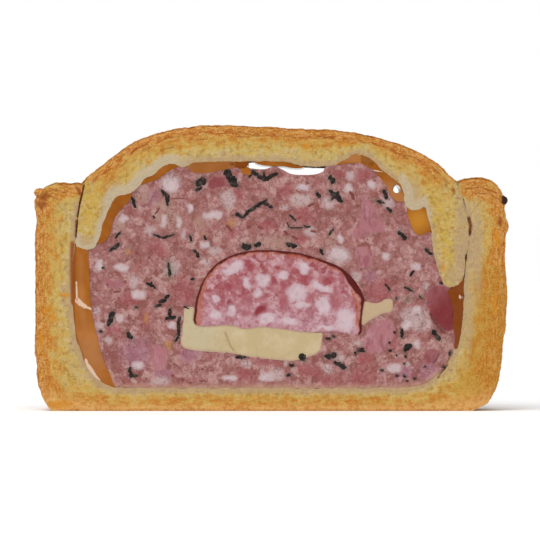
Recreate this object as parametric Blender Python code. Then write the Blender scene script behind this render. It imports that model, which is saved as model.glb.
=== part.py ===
"""A thick slice of pate en croute that stands on its flat crust base.

X runs across the slice, Y through its thickness, Z up. The cut face that shows first looks
towards -Y. The pastry case and the pastry lid go round a coarse pork forcemeat with dice of
back fat and chunks of ham, a half round of smoked sausage on a slab of cheese, and set aspic
in the hollows under the lid. Lengths in the tables are millimetres.
"""
import math

import bmesh
import bpy
import numpy as np
from mathutils import Matrix, Vector, noise

MM = 0.001
THICKNESS = 15.0 * MM
GAP = 0.3 * MM
OVERCUT = 2.0 * MM
OUTLINE_STEP = 1.3 * MM
SMALL_STEP = 1.0 * MM
RING_STEP = 2.5 * MM

CRUST_RELIEF = 0.45 * MM
CRUST_GRAIN = 5.0 * MM
FRONT_FADE = 2.5 * MM
BASE_FADE = 1.5 * MM
SEAM_FADE = 2.0

# Each outline lists x, z in the cut face. A case or lid outline starts with its outer side.
CASE_OUTSIDE = [
    (-47.5, 56.75), (-50, 56.75), (-53, 57), (-55.5, 56.5), (-57.25, 55.5), (-58.75, 54), (-59.25, 52),
    (-58.75, 49), (-59, 43), (-59, 30), (-59, 16.5), (-58.5, 8), (-57.5, 4), (-55.75, 0.75), (-54, 0),
    (-50, 0), (-30, 0), (0, 0), (30, 0), (47, 0), (50.25, 0.25), (53.5, 1.75), (55.75, 5), (57, 10),
    (57.75, 16), (58.5, 23), (58.75, 29), (58.25, 37), (58.25, 44), (58.25, 50), (57.75, 54),
    (55.75, 57), (52.25, 58.25), (49, 58), (46.5, 57)]
CASE_INSIDE = [
    (48, 53), (49.25, 48), (49.75, 44), (48.75, 38), (48.25, 31.5), (48, 25), (47, 19.25), (45.5, 14.75),
    (43, 10.75), (39.75, 7.5), (35.5, 5.9), (25, 5.6), (0, 5.6), (-34, 5.6), (-39.5, 5.75),
    (-43.5, 7.75), (-46.5, 11.5), (-48.5, 16.5), (-49.5, 22), (-50, 29), (-49.75, 37), (-49.25, 43),
    (-48.75, 48), (-48.25, 52)]
LID_OUTSIDE = [
    (-47.4, 56.75), (-45.25, 59.25), (-42, 61.75), (-37.75, 65), (-33.25, 67.75), (-28.75, 69.25),
    (-23.75, 70.5), (-16.5, 71.25), (-7.75, 71.25), (1, 70.75), (9.75, 70.25), (17.25, 70), (24.25, 68.75),
    (31, 67), (36.75, 64.75), (41.25, 62), (44.25, 59), (46.4, 57)]
LID_INSIDE = [
    (48.25, 53), (49.5, 48), (50, 44), (49.25, 39), (48.25, 34.75), (47, 32), (44.75, 31), (43, 32.25),
    (41.75, 35.75), (40.5, 40.25), (40, 45.25), (39, 49.75), (38.5, 51.5), (37.25, 50.6), (35.5, 50.4),
    (34, 51), (33.25, 52.5), (33.25, 54.25), (32.5, 56.25), (31.5, 57.75), (28.75, 59.5), (26, 62.25),
    (23.75, 63.75), (21.25, 64.25), (18.5, 63), (15.5, 61.5), (11.75, 61.25), (7.25, 61.5), (2.75, 62.5),
    (-7.5, 62.5), (-14, 62.5), (-19.5, 62.25), (-22.25, 61), (-24.5, 62), (-27.25, 61.25), (-29.5, 59.25),
    (-32, 58.25), (-33, 56.75), (-35.5, 54.5), (-39, 53.75), (-40.5, 51), (-42.25, 47), (-43.5, 42.75),
    (-44.75, 40.75), (-48.5, 41), (-49.25, 45), (-48.75, 49), (-48.25, 53)]
FORCEMEAT = [
    (-34.25, 55.5), (-31, 57), (-28.25, 58), (-26, 59.75), (-22.75, 61.25), (-21.5, 61.25), (-19.5, 59.5), (-15.75, 59.5),
    (-12, 60.25), (-8.5, 61), (-5.25, 60.5), (-1.75, 60.25), (0.75, 61), (3, 60), (5.25, 59), (10.25, 58.9),
    (13, 59.75), (15.75, 62), (20.25, 62), (24, 61.25), (26.25, 59.25), (28.25, 56.75), (29.75, 54),
    (31, 52.5), (33.75, 52), (33.75, 49.75), (35, 46), (36.75, 43.75), (40.5, 44.75), (42.25, 40), (43, 34), (44.75, 30.25),
    (46, 25.25), (46.5, 20.25), (46.5, 16), (44.5, 12), (41.5, 8), (38.5, 5.5), (30, 4.5), (-30, 4.5),
    (-38.25, 5.5), (-40.5, 9.5), (-42, 12.75), (-43.25, 17.25), (-44.5, 22.25), (-45.25, 27.75), (-45.5, 34),
    (-45.75, 39.75), (-45.5, 41.75), (-42.75, 41.75), (-40.5, 43.75), (-39.5, 47.75), (-37.5, 50.5),
    (-35.25, 53)]
SAUSAGE = [
    (-19, 21.75), (-19.1, 24.75), (-18.75, 27.5), (-17.75, 30.75), (-16.5, 33.25), (-14.5, 35.9),
    (-11.5, 38), (-7.25, 39.5), (-2.5, 40), (3, 39.75), (8, 39), (12.75, 37.5), (16.75, 35.9), (19.75, 33.5),
    (21.75, 30.75), (23, 28), (22.75, 26.5), (22.25, 23), (22.25, 19.5), (20, 19.25), (16.75, 20), (13.5, 20),
    (8.5, 20), (4.75, 20.5), (1, 21), (-3.25, 21.25), (-6.5, 20.75), (-10.25, 21.75), (-14.75, 21.5)]
CHEESE_SLAB = [
    (-22.25, 16.25), (-22.5, 19), (-22, 22.75), (-22, 25.25), (-19.5, 26), (-18, 24), (-18, 21.75), (-10, 22),
    (-3, 21.75), (5, 21), (12, 20.5), (12.75, 19.75), (12.5, 16.5), (11.75, 14.75), (8.5, 13.5), (5.25, 12.75),
    (1, 13), (-4, 13.5), (-9.5, 14.5), (-15.25, 15), (-19, 15.25)]
CHEESE_BIT = [
    (21.5, 27), (26, 26.9), (29.25, 28), (30.5, 26.75), (29.75, 25), (26.75, 24), (23.75, 22.25), (21.5, 21.5)]

# Coarse ham, as large as the slice is thick.
HAM_CHUNKS = {
    "ham_crimson": [
        (42.25, 31.75), (43.75, 31), (45.25, 29), (46.5, 26), (46.75, 22.5), (45.75, 20), (43.75, 19.5),
        (42, 20.5), (40.25, 23), (38.75, 26), (38.25, 28.5), (39.5, 30.75)],
    "ham_right": [
        (25.5, 22.25), (28.25, 23.25), (30.25, 23), (31, 21.25), (31, 19), (29.75, 17), (28.5, 14.75),
        (25.5, 14.25), (23.5, 15), (22.5, 16.25), (22.75, 17.75), (23.75, 20)],
    "ham_centre": [
        (22.75, 54.25), (24.75, 53), (26.25, 51), (27.5, 48.75), (28.75, 46.25), (28, 44.5), (25.5, 44.25),
        (22.5, 42.75), (20.25, 43), (20, 45), (21.75, 47.75), (22.25, 50.5)],
    "ham_inner": [
        (20.75, 40.75), (23, 41.25), (25, 40.75), (25.5, 38), (25, 36), (22.75, 35.5), (21.25, 37)],
    "ham_low": [
        (-30.5, 16.25), (-28, 16.75), (-26, 15.75), (-25.5, 13), (-26.5, 10.5), (-28.5, 9.75), (-30.25, 11)],
    "ham_top": [
        (-16.25, 56.5), (-15.5, 58.25), (-13.25, 58.75), (-11.25, 58.75), (-11.25, 56.25), (-13.5, 55.5),
        (-15.75, 55.25)],
    "ham_left": [
        (-41, 34.25), (-40.5, 33), (-38, 33.25), (-36.25, 32.25), (-36.75, 30.75), (-40, 30.5),
        (-42, 32), (-42.25, 34)],
    "ham_rust": [
        (39, 15.75), (41, 15.75), (42.25, 14.5), (41.75, 12.75), (40, 11.5), (38, 12.25), (37.75, 14.25)],
}

# Set aspic, drawn past its edges: the crust and the forcemeat trim it.
ASPIC = {
    "aspic_left": [
        (-49.5, 42), (-44.5, 42), (-44, 36), (-44, 29), (-43, 22), (-41, 16), (-39, 10), (-37.5, 6.5), (-37, 5),
        (-41, 5), (-46, 8), (-50, 14), (-51, 22), (-51, 29), (-50.5, 36)],
    "aspic_pocket_low": [
        (-43.25, 41), (-41, 41.75), (-38, 44), (-36, 50), (-32, 54), (-34.75, 56), (-40, 55), (-44, 46)],
    "aspic_pocket_mid": [(-33, 58.5), (-30.5, 55.5), (-25, 57), (-22.2, 60), (-22.2, 63), (-28, 63)],
    "aspic_pocket_top": [(-21.5, 63.5), (-21.5, 59.5), (-17.5, 57.5), (-13, 58), (-10.1, 60), (-10, 63.5)],
    "aspic_rim": [
        (-4, 63.25), (-4.25, 62.1), (-2, 61.4), (1, 61.25), (3, 61.15), (5, 60.75), (7.75, 60.75), (8.75, 61.75),
        (8, 63)],
    "aspic_pocket_right": [
        (23.25, 65), (22.5, 62.5), (24, 60), (26, 56), (28.5, 52.5), (31, 52), (33, 52.5), (34.5, 55),
        (32, 60), (28, 63)],
    "aspic_drop_right": [(34, 51), (33.5, 48), (35, 43), (37.5, 42), (41, 42), (41.5, 47), (39.5, 53), (36, 52.5)],
    "aspic_far_right": [
        (47, 33.5), (49.5, 33), (49.5, 26), (48.5, 18.5), (46.9, 18.75), (46, 22), (45, 27), (44, 30),
        (45, 31)],
}
DROP_HOLE_CENTRE = (31.4, 55.6)
DROP_HOLE_RADIUS = 1.15 * MM

# Dice of back fat at a cut face: x, z, width, height, tilt in degrees.
FAT_DEPTH = 3.6 * MM
FAT_FRONT = [
    (-37.0, 48.0, 2.8, 2.4, 20), (-25.2, 56.5, 4.5, 4.2, 0), (-26.9, 47.5, 2.25, 4.5, -8),
    (-23.1, 47.3, 2.0, 4.0, 6), (-20.3, 50.6, 2.4, 3.2, 0), (-14.7, 49.0, 6.2, 3.0, 6),
    (-43.1, 36.5, 2.7, 3.5, 0), (-37.6, 35.8, 5.0, 2.8, -6), (-16.6, 41.6, 3.4, 2.8, 0),
    (-33.4, 29.1, 4.5, 3.3, -12), (-38.0, 23.2, 2.8, 3.0, 10), (-33.4, 11.4, 4.3, 3.0, 0),
    (-24.8, 21.3, 2.7, 2.8, 0), (7.8, 55.9, 4.0, 2.5, 8), (19.2, 55.7, 3.4, 3.0, 0),
    (25.0, 56.6, 3.2, 2.7, -40), (17.2, 43.1, 2.2, 3.2, 0), (17.0, 39.1, 5.2, 3.4, -8),
    (28.6, 38.6, 2.7, 3.2, 8), (36.0, 36.0, 3.4, 2.5, 0), (33.7, 21.4, 3.4, 3.2, 20),
    (36.3, 25.3, 3.0, 2.6, 0), (36.2, 16.4, 2.6, 2.8, 10), (30.6, 10.8, 4.6, 3.2, 0),
    (-10.4, 8.2, 4.8, 2.2, 4), (-1.2, 8.5, 4.8, 3.2, 0)]
FAT_BACK = [
    (-40.0, 27.0, 3.6, 3.2, 15), (-30.5, 46.5, 4.2, 3.0, -20), (-22.0, 54.0, 3.2, 4.0, 10),
    (-33.0, 22.5, 3.0, 4.2, -15), (-6.0, 54.5, 4.6, 2.8, 12), (6.0, 47.5, 3.6, 3.4, 0),
    (32.2, 45.0, 3.4, 2.8, 30), (31.0, 32.0, 4.4, 3.0, -10), (15.0, 9.2, 4.8, 3.2, 8),
    (-18.0, 10.2, 4.0, 3.0, -14)]
DIE_SEGMENTS = 10
DIE_RINGS = 6
DIE_SQUARENESS = 0.72
DIE_CENTRE_OUT = 0.35 * MM

COLOURS = {
    "crust": (0.60, 0.33, 0.12), "forcemeat": (0.45, 0.18, 0.16), "ham": (0.42, 0.14, 0.16),
    "fat": (0.62, 0.45, 0.43), "sausage": (0.50, 0.19, 0.20), "cheese": (0.62, 0.50, 0.28),
    "aspic": (0.42, 0.17, 0.04)}
ROUGHNESS = {
    "crust": 0.75, "forcemeat": 0.5, "ham": 0.45, "fat": 0.4, "sausage": 0.4, "cheese": 0.5, "aspic": 0.12}


def clear_scene():
    for obj in list(bpy.data.objects):
        bpy.data.objects.remove(obj, do_unlink=True)


def new_collection(name):
    collection = bpy.data.collections.new(name)
    bpy.context.scene.collection.children.link(collection)
    return collection


def make_material(name):
    material = bpy.data.materials.new(name)
    material.use_nodes = True
    shader = material.node_tree.nodes["Principled BSDF"]
    shader.inputs["Base Color"].default_value = (*COLOURS[name], 1.0)
    shader.inputs["Roughness"].default_value = ROUGHNESS[name]
    shader.inputs["Metallic"].default_value = 0.0
    return material


def smooth_loop(points_mm, step):
    """Closed Catmull-Rom curve through the points, at even steps, and each sample's point number."""
    points = np.array(points_mm, float) * MM
    before, after = np.roll(points, 1, axis=0), np.roll(points, -1, axis=0)
    beyond = np.roll(points, -2, axis=0)
    t = np.linspace(0.0, 1.0, 16, endpoint=False)[None, :, None]
    p0, p1, p2, p3 = (side[:, None, :] for side in (before, points, after, beyond))
    curve = 0.5 * (2 * p1 + (p2 - p0) * t + (2 * p0 - 5 * p1 + 4 * p2 - p3) * t ** 2
                   + (3 * p1 - p0 - 3 * p2 + p3) * t ** 3)
    numbers = (np.arange(len(points))[:, None] + t[0, :, 0]).ravel()
    curve = curve.reshape(-1, 2)
    lengths = np.linalg.norm(np.roll(curve, -1, axis=0) - curve, axis=1)
    travelled = np.concatenate([[0.0], np.cumsum(lengths)])
    count = max(8, int(round(travelled[-1] / step)))
    at = np.linspace(0.0, travelled[-1], count, endpoint=False)
    closed = np.vstack([curve, curve[:1]])
    closed_numbers = np.append(numbers, len(points))
    loop = np.column_stack([np.interp(at, travelled, closed[:, axis]) for axis in (0, 1)])
    return loop, np.interp(at, travelled, closed_numbers)


def outward(loop):
    """Unit normals of a closed loop that point away from its inside."""
    along = np.roll(loop, -1, axis=0) - np.roll(loop, 1, axis=0)
    along /= np.linalg.norm(along, axis=1)[:, None]
    normals = np.column_stack([along[:, 1], -along[:, 0]])
    following = np.roll(loop, -1, axis=0)
    area = np.sum(loop[:, 0] * following[:, 1] - following[:, 0] * loop[:, 1])
    return normals if area > 0 else -normals


def slab_from_loop(name, loop, collection, depth=THICKNESS, grow=0.0):
    """A filled flat outline in the XZ plane, extruded through the slice and made a mesh."""
    shape = loop + outward(loop) * grow
    curve = bpy.data.curves.new(name, "CURVE")
    curve.dimensions = "2D"
    curve.fill_mode = "BOTH"
    curve.extrude = depth / 2
    spline = curve.splines.new("POLY")
    spline.points.add(len(shape) - 1)
    for point, (x, z) in zip(spline.points, shape):
        point.co = (x, z, 0.0, 1.0)
    spline.use_cyclic_u = True
    outline = bpy.data.objects.new(name + "_outline", curve)
    bpy.context.scene.collection.objects.link(outline)
    outline.rotation_euler = (math.radians(90.0), 0.0, 0.0)
    bpy.context.view_layer.update()
    depsgraph = bpy.context.evaluated_depsgraph_get()
    mesh = bpy.data.meshes.new_from_object(outline.evaluated_get(depsgraph))
    mesh.transform(outline.matrix_world)
    bpy.data.objects.remove(outline, do_unlink=True)
    work = bmesh.new()
    work.from_mesh(mesh)
    bmesh.ops.remove_doubles(work, verts=work.verts, dist=1e-6)
    bmesh.ops.recalc_face_normals(work, faces=work.faces)
    work.to_mesh(mesh)
    work.free()
    mesh.name = name
    obj = bpy.data.objects.new(name, mesh)
    collection.objects.link(obj)
    return obj


def cutter_from_loop(name, loop, cutters):
    """The same outline one gap larger and longer than the slice is thick."""
    cutter = slab_from_loop(name, loop, cutters, THICKNESS + 2 * OVERCUT, GAP)
    cutter.hide_render = True
    cutter.display_type = "WIRE"
    return cutter


def largest_piece(mesh):
    """Keep the body with the most faces and drop scraps that a cut leaves."""
    work = bmesh.new()
    work.from_mesh(mesh)
    bmesh.ops.remove_doubles(work, verts=work.verts, dist=2e-6)
    unseen = set(work.verts)
    bodies = []
    while unseen:
        front = [unseen.pop()]
        body = set(front)
        while front:
            for edge in front.pop().link_edges:
                for vert in edge.verts:
                    if vert in unseen:
                        unseen.remove(vert)
                        body.add(vert)
                        front.append(vert)
        bodies.append(body)
    bodies.sort(key=len)
    for body in bodies[:-1]:
        bmesh.ops.delete(work, geom=list(body), context="VERTS")
    work.to_mesh(mesh)
    work.free()


def cut(obj, cutters):
    """Subtract each cutter in turn and keep the result as the object's own mesh."""
    for cutter in cutters:
        modifier = obj.modifiers.new("cut " + cutter.name, "BOOLEAN")
        modifier.operation = "DIFFERENCE"
        modifier.object = cutter
    bpy.context.view_layer.update()
    depsgraph = bpy.context.evaluated_depsgraph_get()
    mesh = bpy.data.meshes.new_from_object(obj.evaluated_get(depsgraph))
    obj.modifiers.clear()
    obj.data = mesh
    largest_piece(mesh)


def slice_rings(obj):
    """Rings through the thickness, for relief to bend."""
    work = bmesh.new()
    work.from_mesh(obj.data)
    for y in np.arange(-THICKNESS / 2 + RING_STEP, THICKNESS / 2 - RING_STEP / 2, RING_STEP):
        geometry = list(work.verts) + list(work.edges) + list(work.faces)
        bmesh.ops.bisect_plane(work, geom=geometry, dist=1e-7, plane_co=(0, y, 0), plane_no=(0, 1, 0))
    work.to_mesh(obj.data)
    work.free()


def fade(value, width):
    t = min(max(value / width, 0.0), 1.0)
    return t * t * (3.0 - 2.0 * t)


def baked_lumps(position):
    """The uneven swelling of the baked skin, the burnt speck and the flake on the right wall."""
    x, y, z = (value / MM for value in position)
    lumps = noise.fractal(position / CRUST_GRAIN, 1.0, 2.0, 3) * CRUST_RELIEF
    flake = math.exp(-((z - 46.2) / 1.9) ** 4 - ((y + 5.5) / 2.6) ** 4) * (1.0 if x > 50 else 0.0)
    speck = math.exp(-((z - 52.6) / 0.8) ** 2 - ((y + 5.8) / 0.9) ** 2) * (1.0 if x > 50 else 0.0)
    return lumps, (flake * 1.0 + speck * 0.6) * MM


def bake(obj, loop, numbers, outside_count):
    """Move the outer skin along the outline's normal; cut faces, base and seams stay put."""
    normals = outward(loop)
    for vert in obj.data.vertices:
        position = vert.co.copy()
        offsets = loop - np.array((position.x, position.z))
        nearest = int(np.argmin(np.einsum("ij,ij->i", offsets, offsets)))
        number = numbers[nearest]
        if number > outside_count - 1 or np.linalg.norm(offsets[nearest]) > OUTLINE_STEP:
            continue
        lumps, bumps = baked_lumps(position)
        front = fade(position.y + THICKNESS / 2, FRONT_FADE)
        base = fade(position.z, BASE_FADE)
        seam = fade(min(number, outside_count - 1 - number), SEAM_FADE)
        amount = (lumps * front + bumps) * base * seam
        vert.co += Vector((normals[nearest, 0], 0.0, normals[nearest, 1])) * amount


def crust_piece(name, outside, inside, collection, cutters):
    loop, numbers = smooth_loop(outside + inside, OUTLINE_STEP)
    loop[:, 1] = np.maximum(loop[:, 1], 0.0)
    obj = slab_from_loop(name, loop, collection)
    slice_rings(obj)
    bake(obj, loop, numbers, len(outside))
    return obj, loop


def die_shape(name, spec, front, collection, grow=0.0):
    """A rounded die of fat, flat where the knife went through it."""
    x, z, width, height, tilt = spec
    work = bmesh.new()
    bmesh.ops.create_uvsphere(work, u_segments=DIE_SEGMENTS, v_segments=DIE_RINGS, radius=1.0)
    for vert in work.verts:
        for axis in range(3):
            value = vert.co[axis]
            vert.co[axis] = math.copysign(abs(value) ** DIE_SQUARENESS, value)
    face_y = -THICKNESS / 2 if front else THICKNESS / 2
    inward = 1.0 if front else -1.0
    size = Vector((width * MM / 2 + grow, height * MM / 2 + grow, FAT_DEPTH + grow))
    bmesh.ops.scale(work, verts=work.verts, vec=size)
    turn = Matrix.Translation((x * MM, face_y - inward * DIE_CENTRE_OUT, z * MM))
    turn = turn @ Matrix.Rotation(math.radians(-tilt), 4, "Y") @ Matrix.Rotation(math.radians(90), 4, "X")
    bmesh.ops.transform(work, verts=work.verts, matrix=turn)
    if not grow:
        geometry = list(work.verts) + list(work.edges) + list(work.faces)
        bmesh.ops.bisect_plane(work, geom=geometry, dist=1e-6, plane_co=(0, face_y, 0),
                               plane_no=(0, -inward, 0), clear_outer=True)
        bmesh.ops.holes_fill(work, edges=[edge for edge in work.edges if edge.is_boundary])
    bmesh.ops.recalc_face_normals(work, faces=work.faces)
    mesh = bpy.data.meshes.new(name)
    work.to_mesh(mesh)
    work.free()
    obj = bpy.data.objects.new(name, mesh)
    collection.objects.link(obj)
    return obj


def make_fat(parts, cutters):
    pieces, pockets = [], []
    for label, specs, front in (("front", FAT_FRONT, True), ("back", FAT_BACK, False)):
        for number, spec in enumerate(specs, 1):
            name = f"fat_{label}_{number:02d}"
            pieces.append(die_shape(name, spec, front, parts))
            pockets.append(die_shape(name + "_pocket", spec, front, cutters, GAP))
    return pieces, pockets


def hole_cutter(cutters):
    x, z = DROP_HOLE_CENTRE
    work = bmesh.new()
    bmesh.ops.create_cone(work, cap_ends=True, segments=20, radius1=DROP_HOLE_RADIUS,
                          radius2=DROP_HOLE_RADIUS, depth=THICKNESS + 2 * OVERCUT)
    place = Matrix.Translation((x * MM, 0, z * MM)) @ Matrix.Rotation(math.radians(90), 4, "X")
    bmesh.ops.transform(work, verts=work.verts, matrix=place)
    mesh = bpy.data.meshes.new("hole_cutter")
    work.to_mesh(mesh)
    work.free()
    obj = bpy.data.objects.new("hole_cutter", mesh)
    cutters.objects.link(obj)
    return obj


def centre_across(objects):
    """Shift every piece in X so that the slice stands evenly about the origin."""
    edges = [vert.co.x for obj in objects for vert in obj.data.vertices]
    shift = Matrix.Translation((-(min(edges) + max(edges)) / 2, 0, 0))
    for obj in objects:
        obj.data.transform(shift)


def paint(objects, material):
    for obj in objects:
        obj.data.materials.clear()
        obj.data.materials.append(material)


def main():
    clear_scene()
    parts = new_collection("pate_en_croute")
    cutters = new_collection("cutters")
    materials = {name: make_material(name) for name in COLOURS}

    case, case_loop = crust_piece("crust_case", CASE_OUTSIDE, CASE_INSIDE, parts, cutters)
    lid, lid_loop = crust_piece("crust_lid", LID_OUTSIDE, LID_INSIDE, parts, cutters)
    case_cutter = cutter_from_loop("case_cutter", case_loop, cutters)
    cut(lid, [case_cutter])
    lid_cutter = cutter_from_loop("lid_cutter", lid_loop, cutters)
    crust_cutters = [case_cutter, lid_cutter]

    sausage_loop, _ = smooth_loop(SAUSAGE, SMALL_STEP)
    sausage = slab_from_loop("sausage", sausage_loop, parts)
    sausage_cutter = cutter_from_loop("sausage_cutter", sausage_loop, cutters)

    cheeses, fillings = [], [sausage_cutter]
    for name, points in (("cheese_slab", CHEESE_SLAB), ("cheese_bit", CHEESE_BIT)):
        loop, _ = smooth_loop(points, SMALL_STEP)
        cheese = slab_from_loop(name, loop, parts)
        cut(cheese, [sausage_cutter])
        cheeses.append(cheese)
        fillings.append(cutter_from_loop(name + "_cutter", loop, cutters))

    hams, ham_cutters = [], []
    for name, points in HAM_CHUNKS.items():
        loop, _ = smooth_loop(points, SMALL_STEP)
        hams.append(slab_from_loop(name, loop, parts))
        ham_cutters.append(cutter_from_loop(name + "_cutter", loop, cutters))

    fat, pockets = make_fat(parts, cutters)

    farce_loop, _ = smooth_loop(FORCEMEAT, OUTLINE_STEP)
    farce = slab_from_loop("forcemeat", farce_loop, parts)
    cut(farce, crust_cutters + fillings + ham_cutters + pockets)
    farce_cutter = cutter_from_loop("forcemeat_cutter", farce_loop, cutters)

    aspics = []
    hole = hole_cutter(cutters)
    for name, points in ASPIC.items():
        loop, _ = smooth_loop(points, SMALL_STEP)
        aspic = slab_from_loop(name, loop, parts)
        tools = crust_cutters + [farce_cutter]
        if name == "aspic_pocket_right":
            tools.append(hole)
        if name == "aspic_far_right":
            tools.append(ham_cutters[list(HAM_CHUNKS).index("ham_crimson")])
        cut(aspic, tools)
        aspics.append(aspic)

    paint([case, lid], materials["crust"])
    paint([farce], materials["forcemeat"])
    paint([sausage], materials["sausage"])
    paint(cheeses, materials["cheese"])
    paint(hams, materials["ham"])
    paint(fat, materials["fat"])
    paint(aspics, materials["aspic"])
    centre_across([case, lid, farce, sausage] + cheeses + hams + fat + aspics)

    for cutter in list(cutters.objects):
        bpy.data.objects.remove(cutter, do_unlink=True)
    bpy.data.collections.remove(cutters)


main()
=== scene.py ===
"""Looks of a slice of pate en croute: baked pastry, forcemeat, fat, ham, sausage, cheese and aspic."""
import math

import bpy
import numpy as np
from bpy.props import FloatProperty, FloatVectorProperty, PointerProperty
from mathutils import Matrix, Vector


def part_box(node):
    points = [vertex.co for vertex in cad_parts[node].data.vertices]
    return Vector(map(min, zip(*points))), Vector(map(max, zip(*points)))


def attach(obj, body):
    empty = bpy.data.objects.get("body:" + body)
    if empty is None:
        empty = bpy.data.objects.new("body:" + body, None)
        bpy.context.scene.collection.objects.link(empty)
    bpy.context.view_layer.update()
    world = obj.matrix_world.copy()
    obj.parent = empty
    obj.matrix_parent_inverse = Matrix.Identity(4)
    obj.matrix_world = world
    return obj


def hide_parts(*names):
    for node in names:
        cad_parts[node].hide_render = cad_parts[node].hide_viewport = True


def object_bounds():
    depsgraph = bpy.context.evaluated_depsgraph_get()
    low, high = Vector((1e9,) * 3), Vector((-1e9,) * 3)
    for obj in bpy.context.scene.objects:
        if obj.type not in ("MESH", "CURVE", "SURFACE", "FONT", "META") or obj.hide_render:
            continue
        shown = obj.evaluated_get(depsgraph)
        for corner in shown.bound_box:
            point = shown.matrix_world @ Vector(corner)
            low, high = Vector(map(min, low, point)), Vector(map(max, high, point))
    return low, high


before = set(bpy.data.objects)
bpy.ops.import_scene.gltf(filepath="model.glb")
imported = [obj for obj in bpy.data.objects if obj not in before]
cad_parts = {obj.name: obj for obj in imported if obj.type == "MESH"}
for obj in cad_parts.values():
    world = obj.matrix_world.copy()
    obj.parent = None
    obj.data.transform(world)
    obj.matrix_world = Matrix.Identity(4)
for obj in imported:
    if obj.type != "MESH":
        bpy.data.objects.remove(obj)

bl_info = {
    "name": "Pate en croute slice",
    "version": (1, 0, 0),
    "blender": (4, 5, 0),
    "location": "3D View > Sidebar > Pate",
    "description": "Builds the visible surfaces of a slice of pate en croute on its solid frame",
    "category": "Add Mesh",
}

CAD_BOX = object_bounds()
MM = 0.001
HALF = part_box("forcemeat")[1][1]

# How finely outlines are followed, and how many points are measured at once.
FINE_STEP = 0.12 * MM
CUT_STEP = 0.15 * MM
BATCH = 4000

# Heights and sides of the crust's zones, in millimetres: the lid's skin and flaps, the bottom, the right
# wall with its tan, and the ears that stand beside the lid.
LID_SKIN_FROM = 56.6
FLAP_TOP = 59
BOTTOM_TOP = 7
RIGHT_WALL = 44
RIGHT_TAN_TOP = 41
EARS_FROM = 51.2
EARS_BESIDE = 46

# Depths under the lid's skin and from the filling, in millimetres: the dark band, and the pale margin.
BAND_DEPTH = 1.9
BAND_WIDTH = 0.45
MARGIN = 1.9

# Places in the cut face are x, z in millimetres. Stations pair the places on a piece's two long sides, from
# end to end, that its grid joins.
CASE_STATIONS = [
    ((-47.6, 56.8), (-47.6, 56.8)), ((-58.5, 54.5), (-48.6, 51.5)), ((-59.2, 45), (-49.3, 44)),
    ((-58.8, 16), (-48.7, 16.5)), ((-55.6, 0.6), (-43.7, 7.7)), ((-40, 0), (-36, 5.6)),
    ((36, 0), (33, 5.8)), ((52, 1), (42, 10.2)), ((57.4, 14), (46, 16.5)), ((58.2, 45), (49.5, 44.5)),
    ((57.3, 54.5), (48.3, 51)), ((46.3, 57), (46.3, 57))]
LID_STATIONS = [
    ((-47.6, 56.8), (-47.6, 56.8)), ((-46.8, 57.6), (-48.6, 41.4)), ((-45.6, 59), (-45.2, 41)),
    ((-41, 62.7), (-40.8, 51)), ((-33.5, 67.5), (-33.4, 56.8)), ((-20, 71), (-20, 62.2)),
    ((15, 70), (15, 61.5)), ((24, 69), (23.5, 63.8)), ((34, 66), (32, 57.2)), ((38, 64), (33.4, 51.7)),
    ((40.5, 62.5), (38.3, 51.2)), ((43.5, 59.7), (42.6, 32.4)), ((45.2, 58.3), (47.2, 32.4)),
    ((46.2, 57.1), (46.2, 57.1))]
FARCE_STATIONS = [
    ((-37.9, 5.9), (-37.9, 5.9)), ((-33, 5.9), (-44.7, 20)), ((-25, 5.9), (-39.9, 46)),
    ((-12, 5.9), (-21, 60)), ((16, 5.9), (17, 61.8)), ((25, 5.9), (31, 52.4)), ((32, 5.9), (42.4, 34)),
    ((37, 6.6), (46, 20)), ((41.5, 9.5), (41.5, 9.5))]
CHEESE_STATIONS = [
    ((-20.4, 25.8), (-20.4, 25.8)), ((-22.3, 21), (-19.5, 23.5)), ((-22, 15.9), (-19, 21.3)),
    ((11.5, 14.8), (11, 20)), ((12.5, 19), (12.5, 19))]
ASPIC_STATIONS = [((-47, 40.6), (-47, 40.6)), ((-49.8, 27), (-45.6, 28)), ((-38.3, 5.9), (-38.3, 5.9))]

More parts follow.
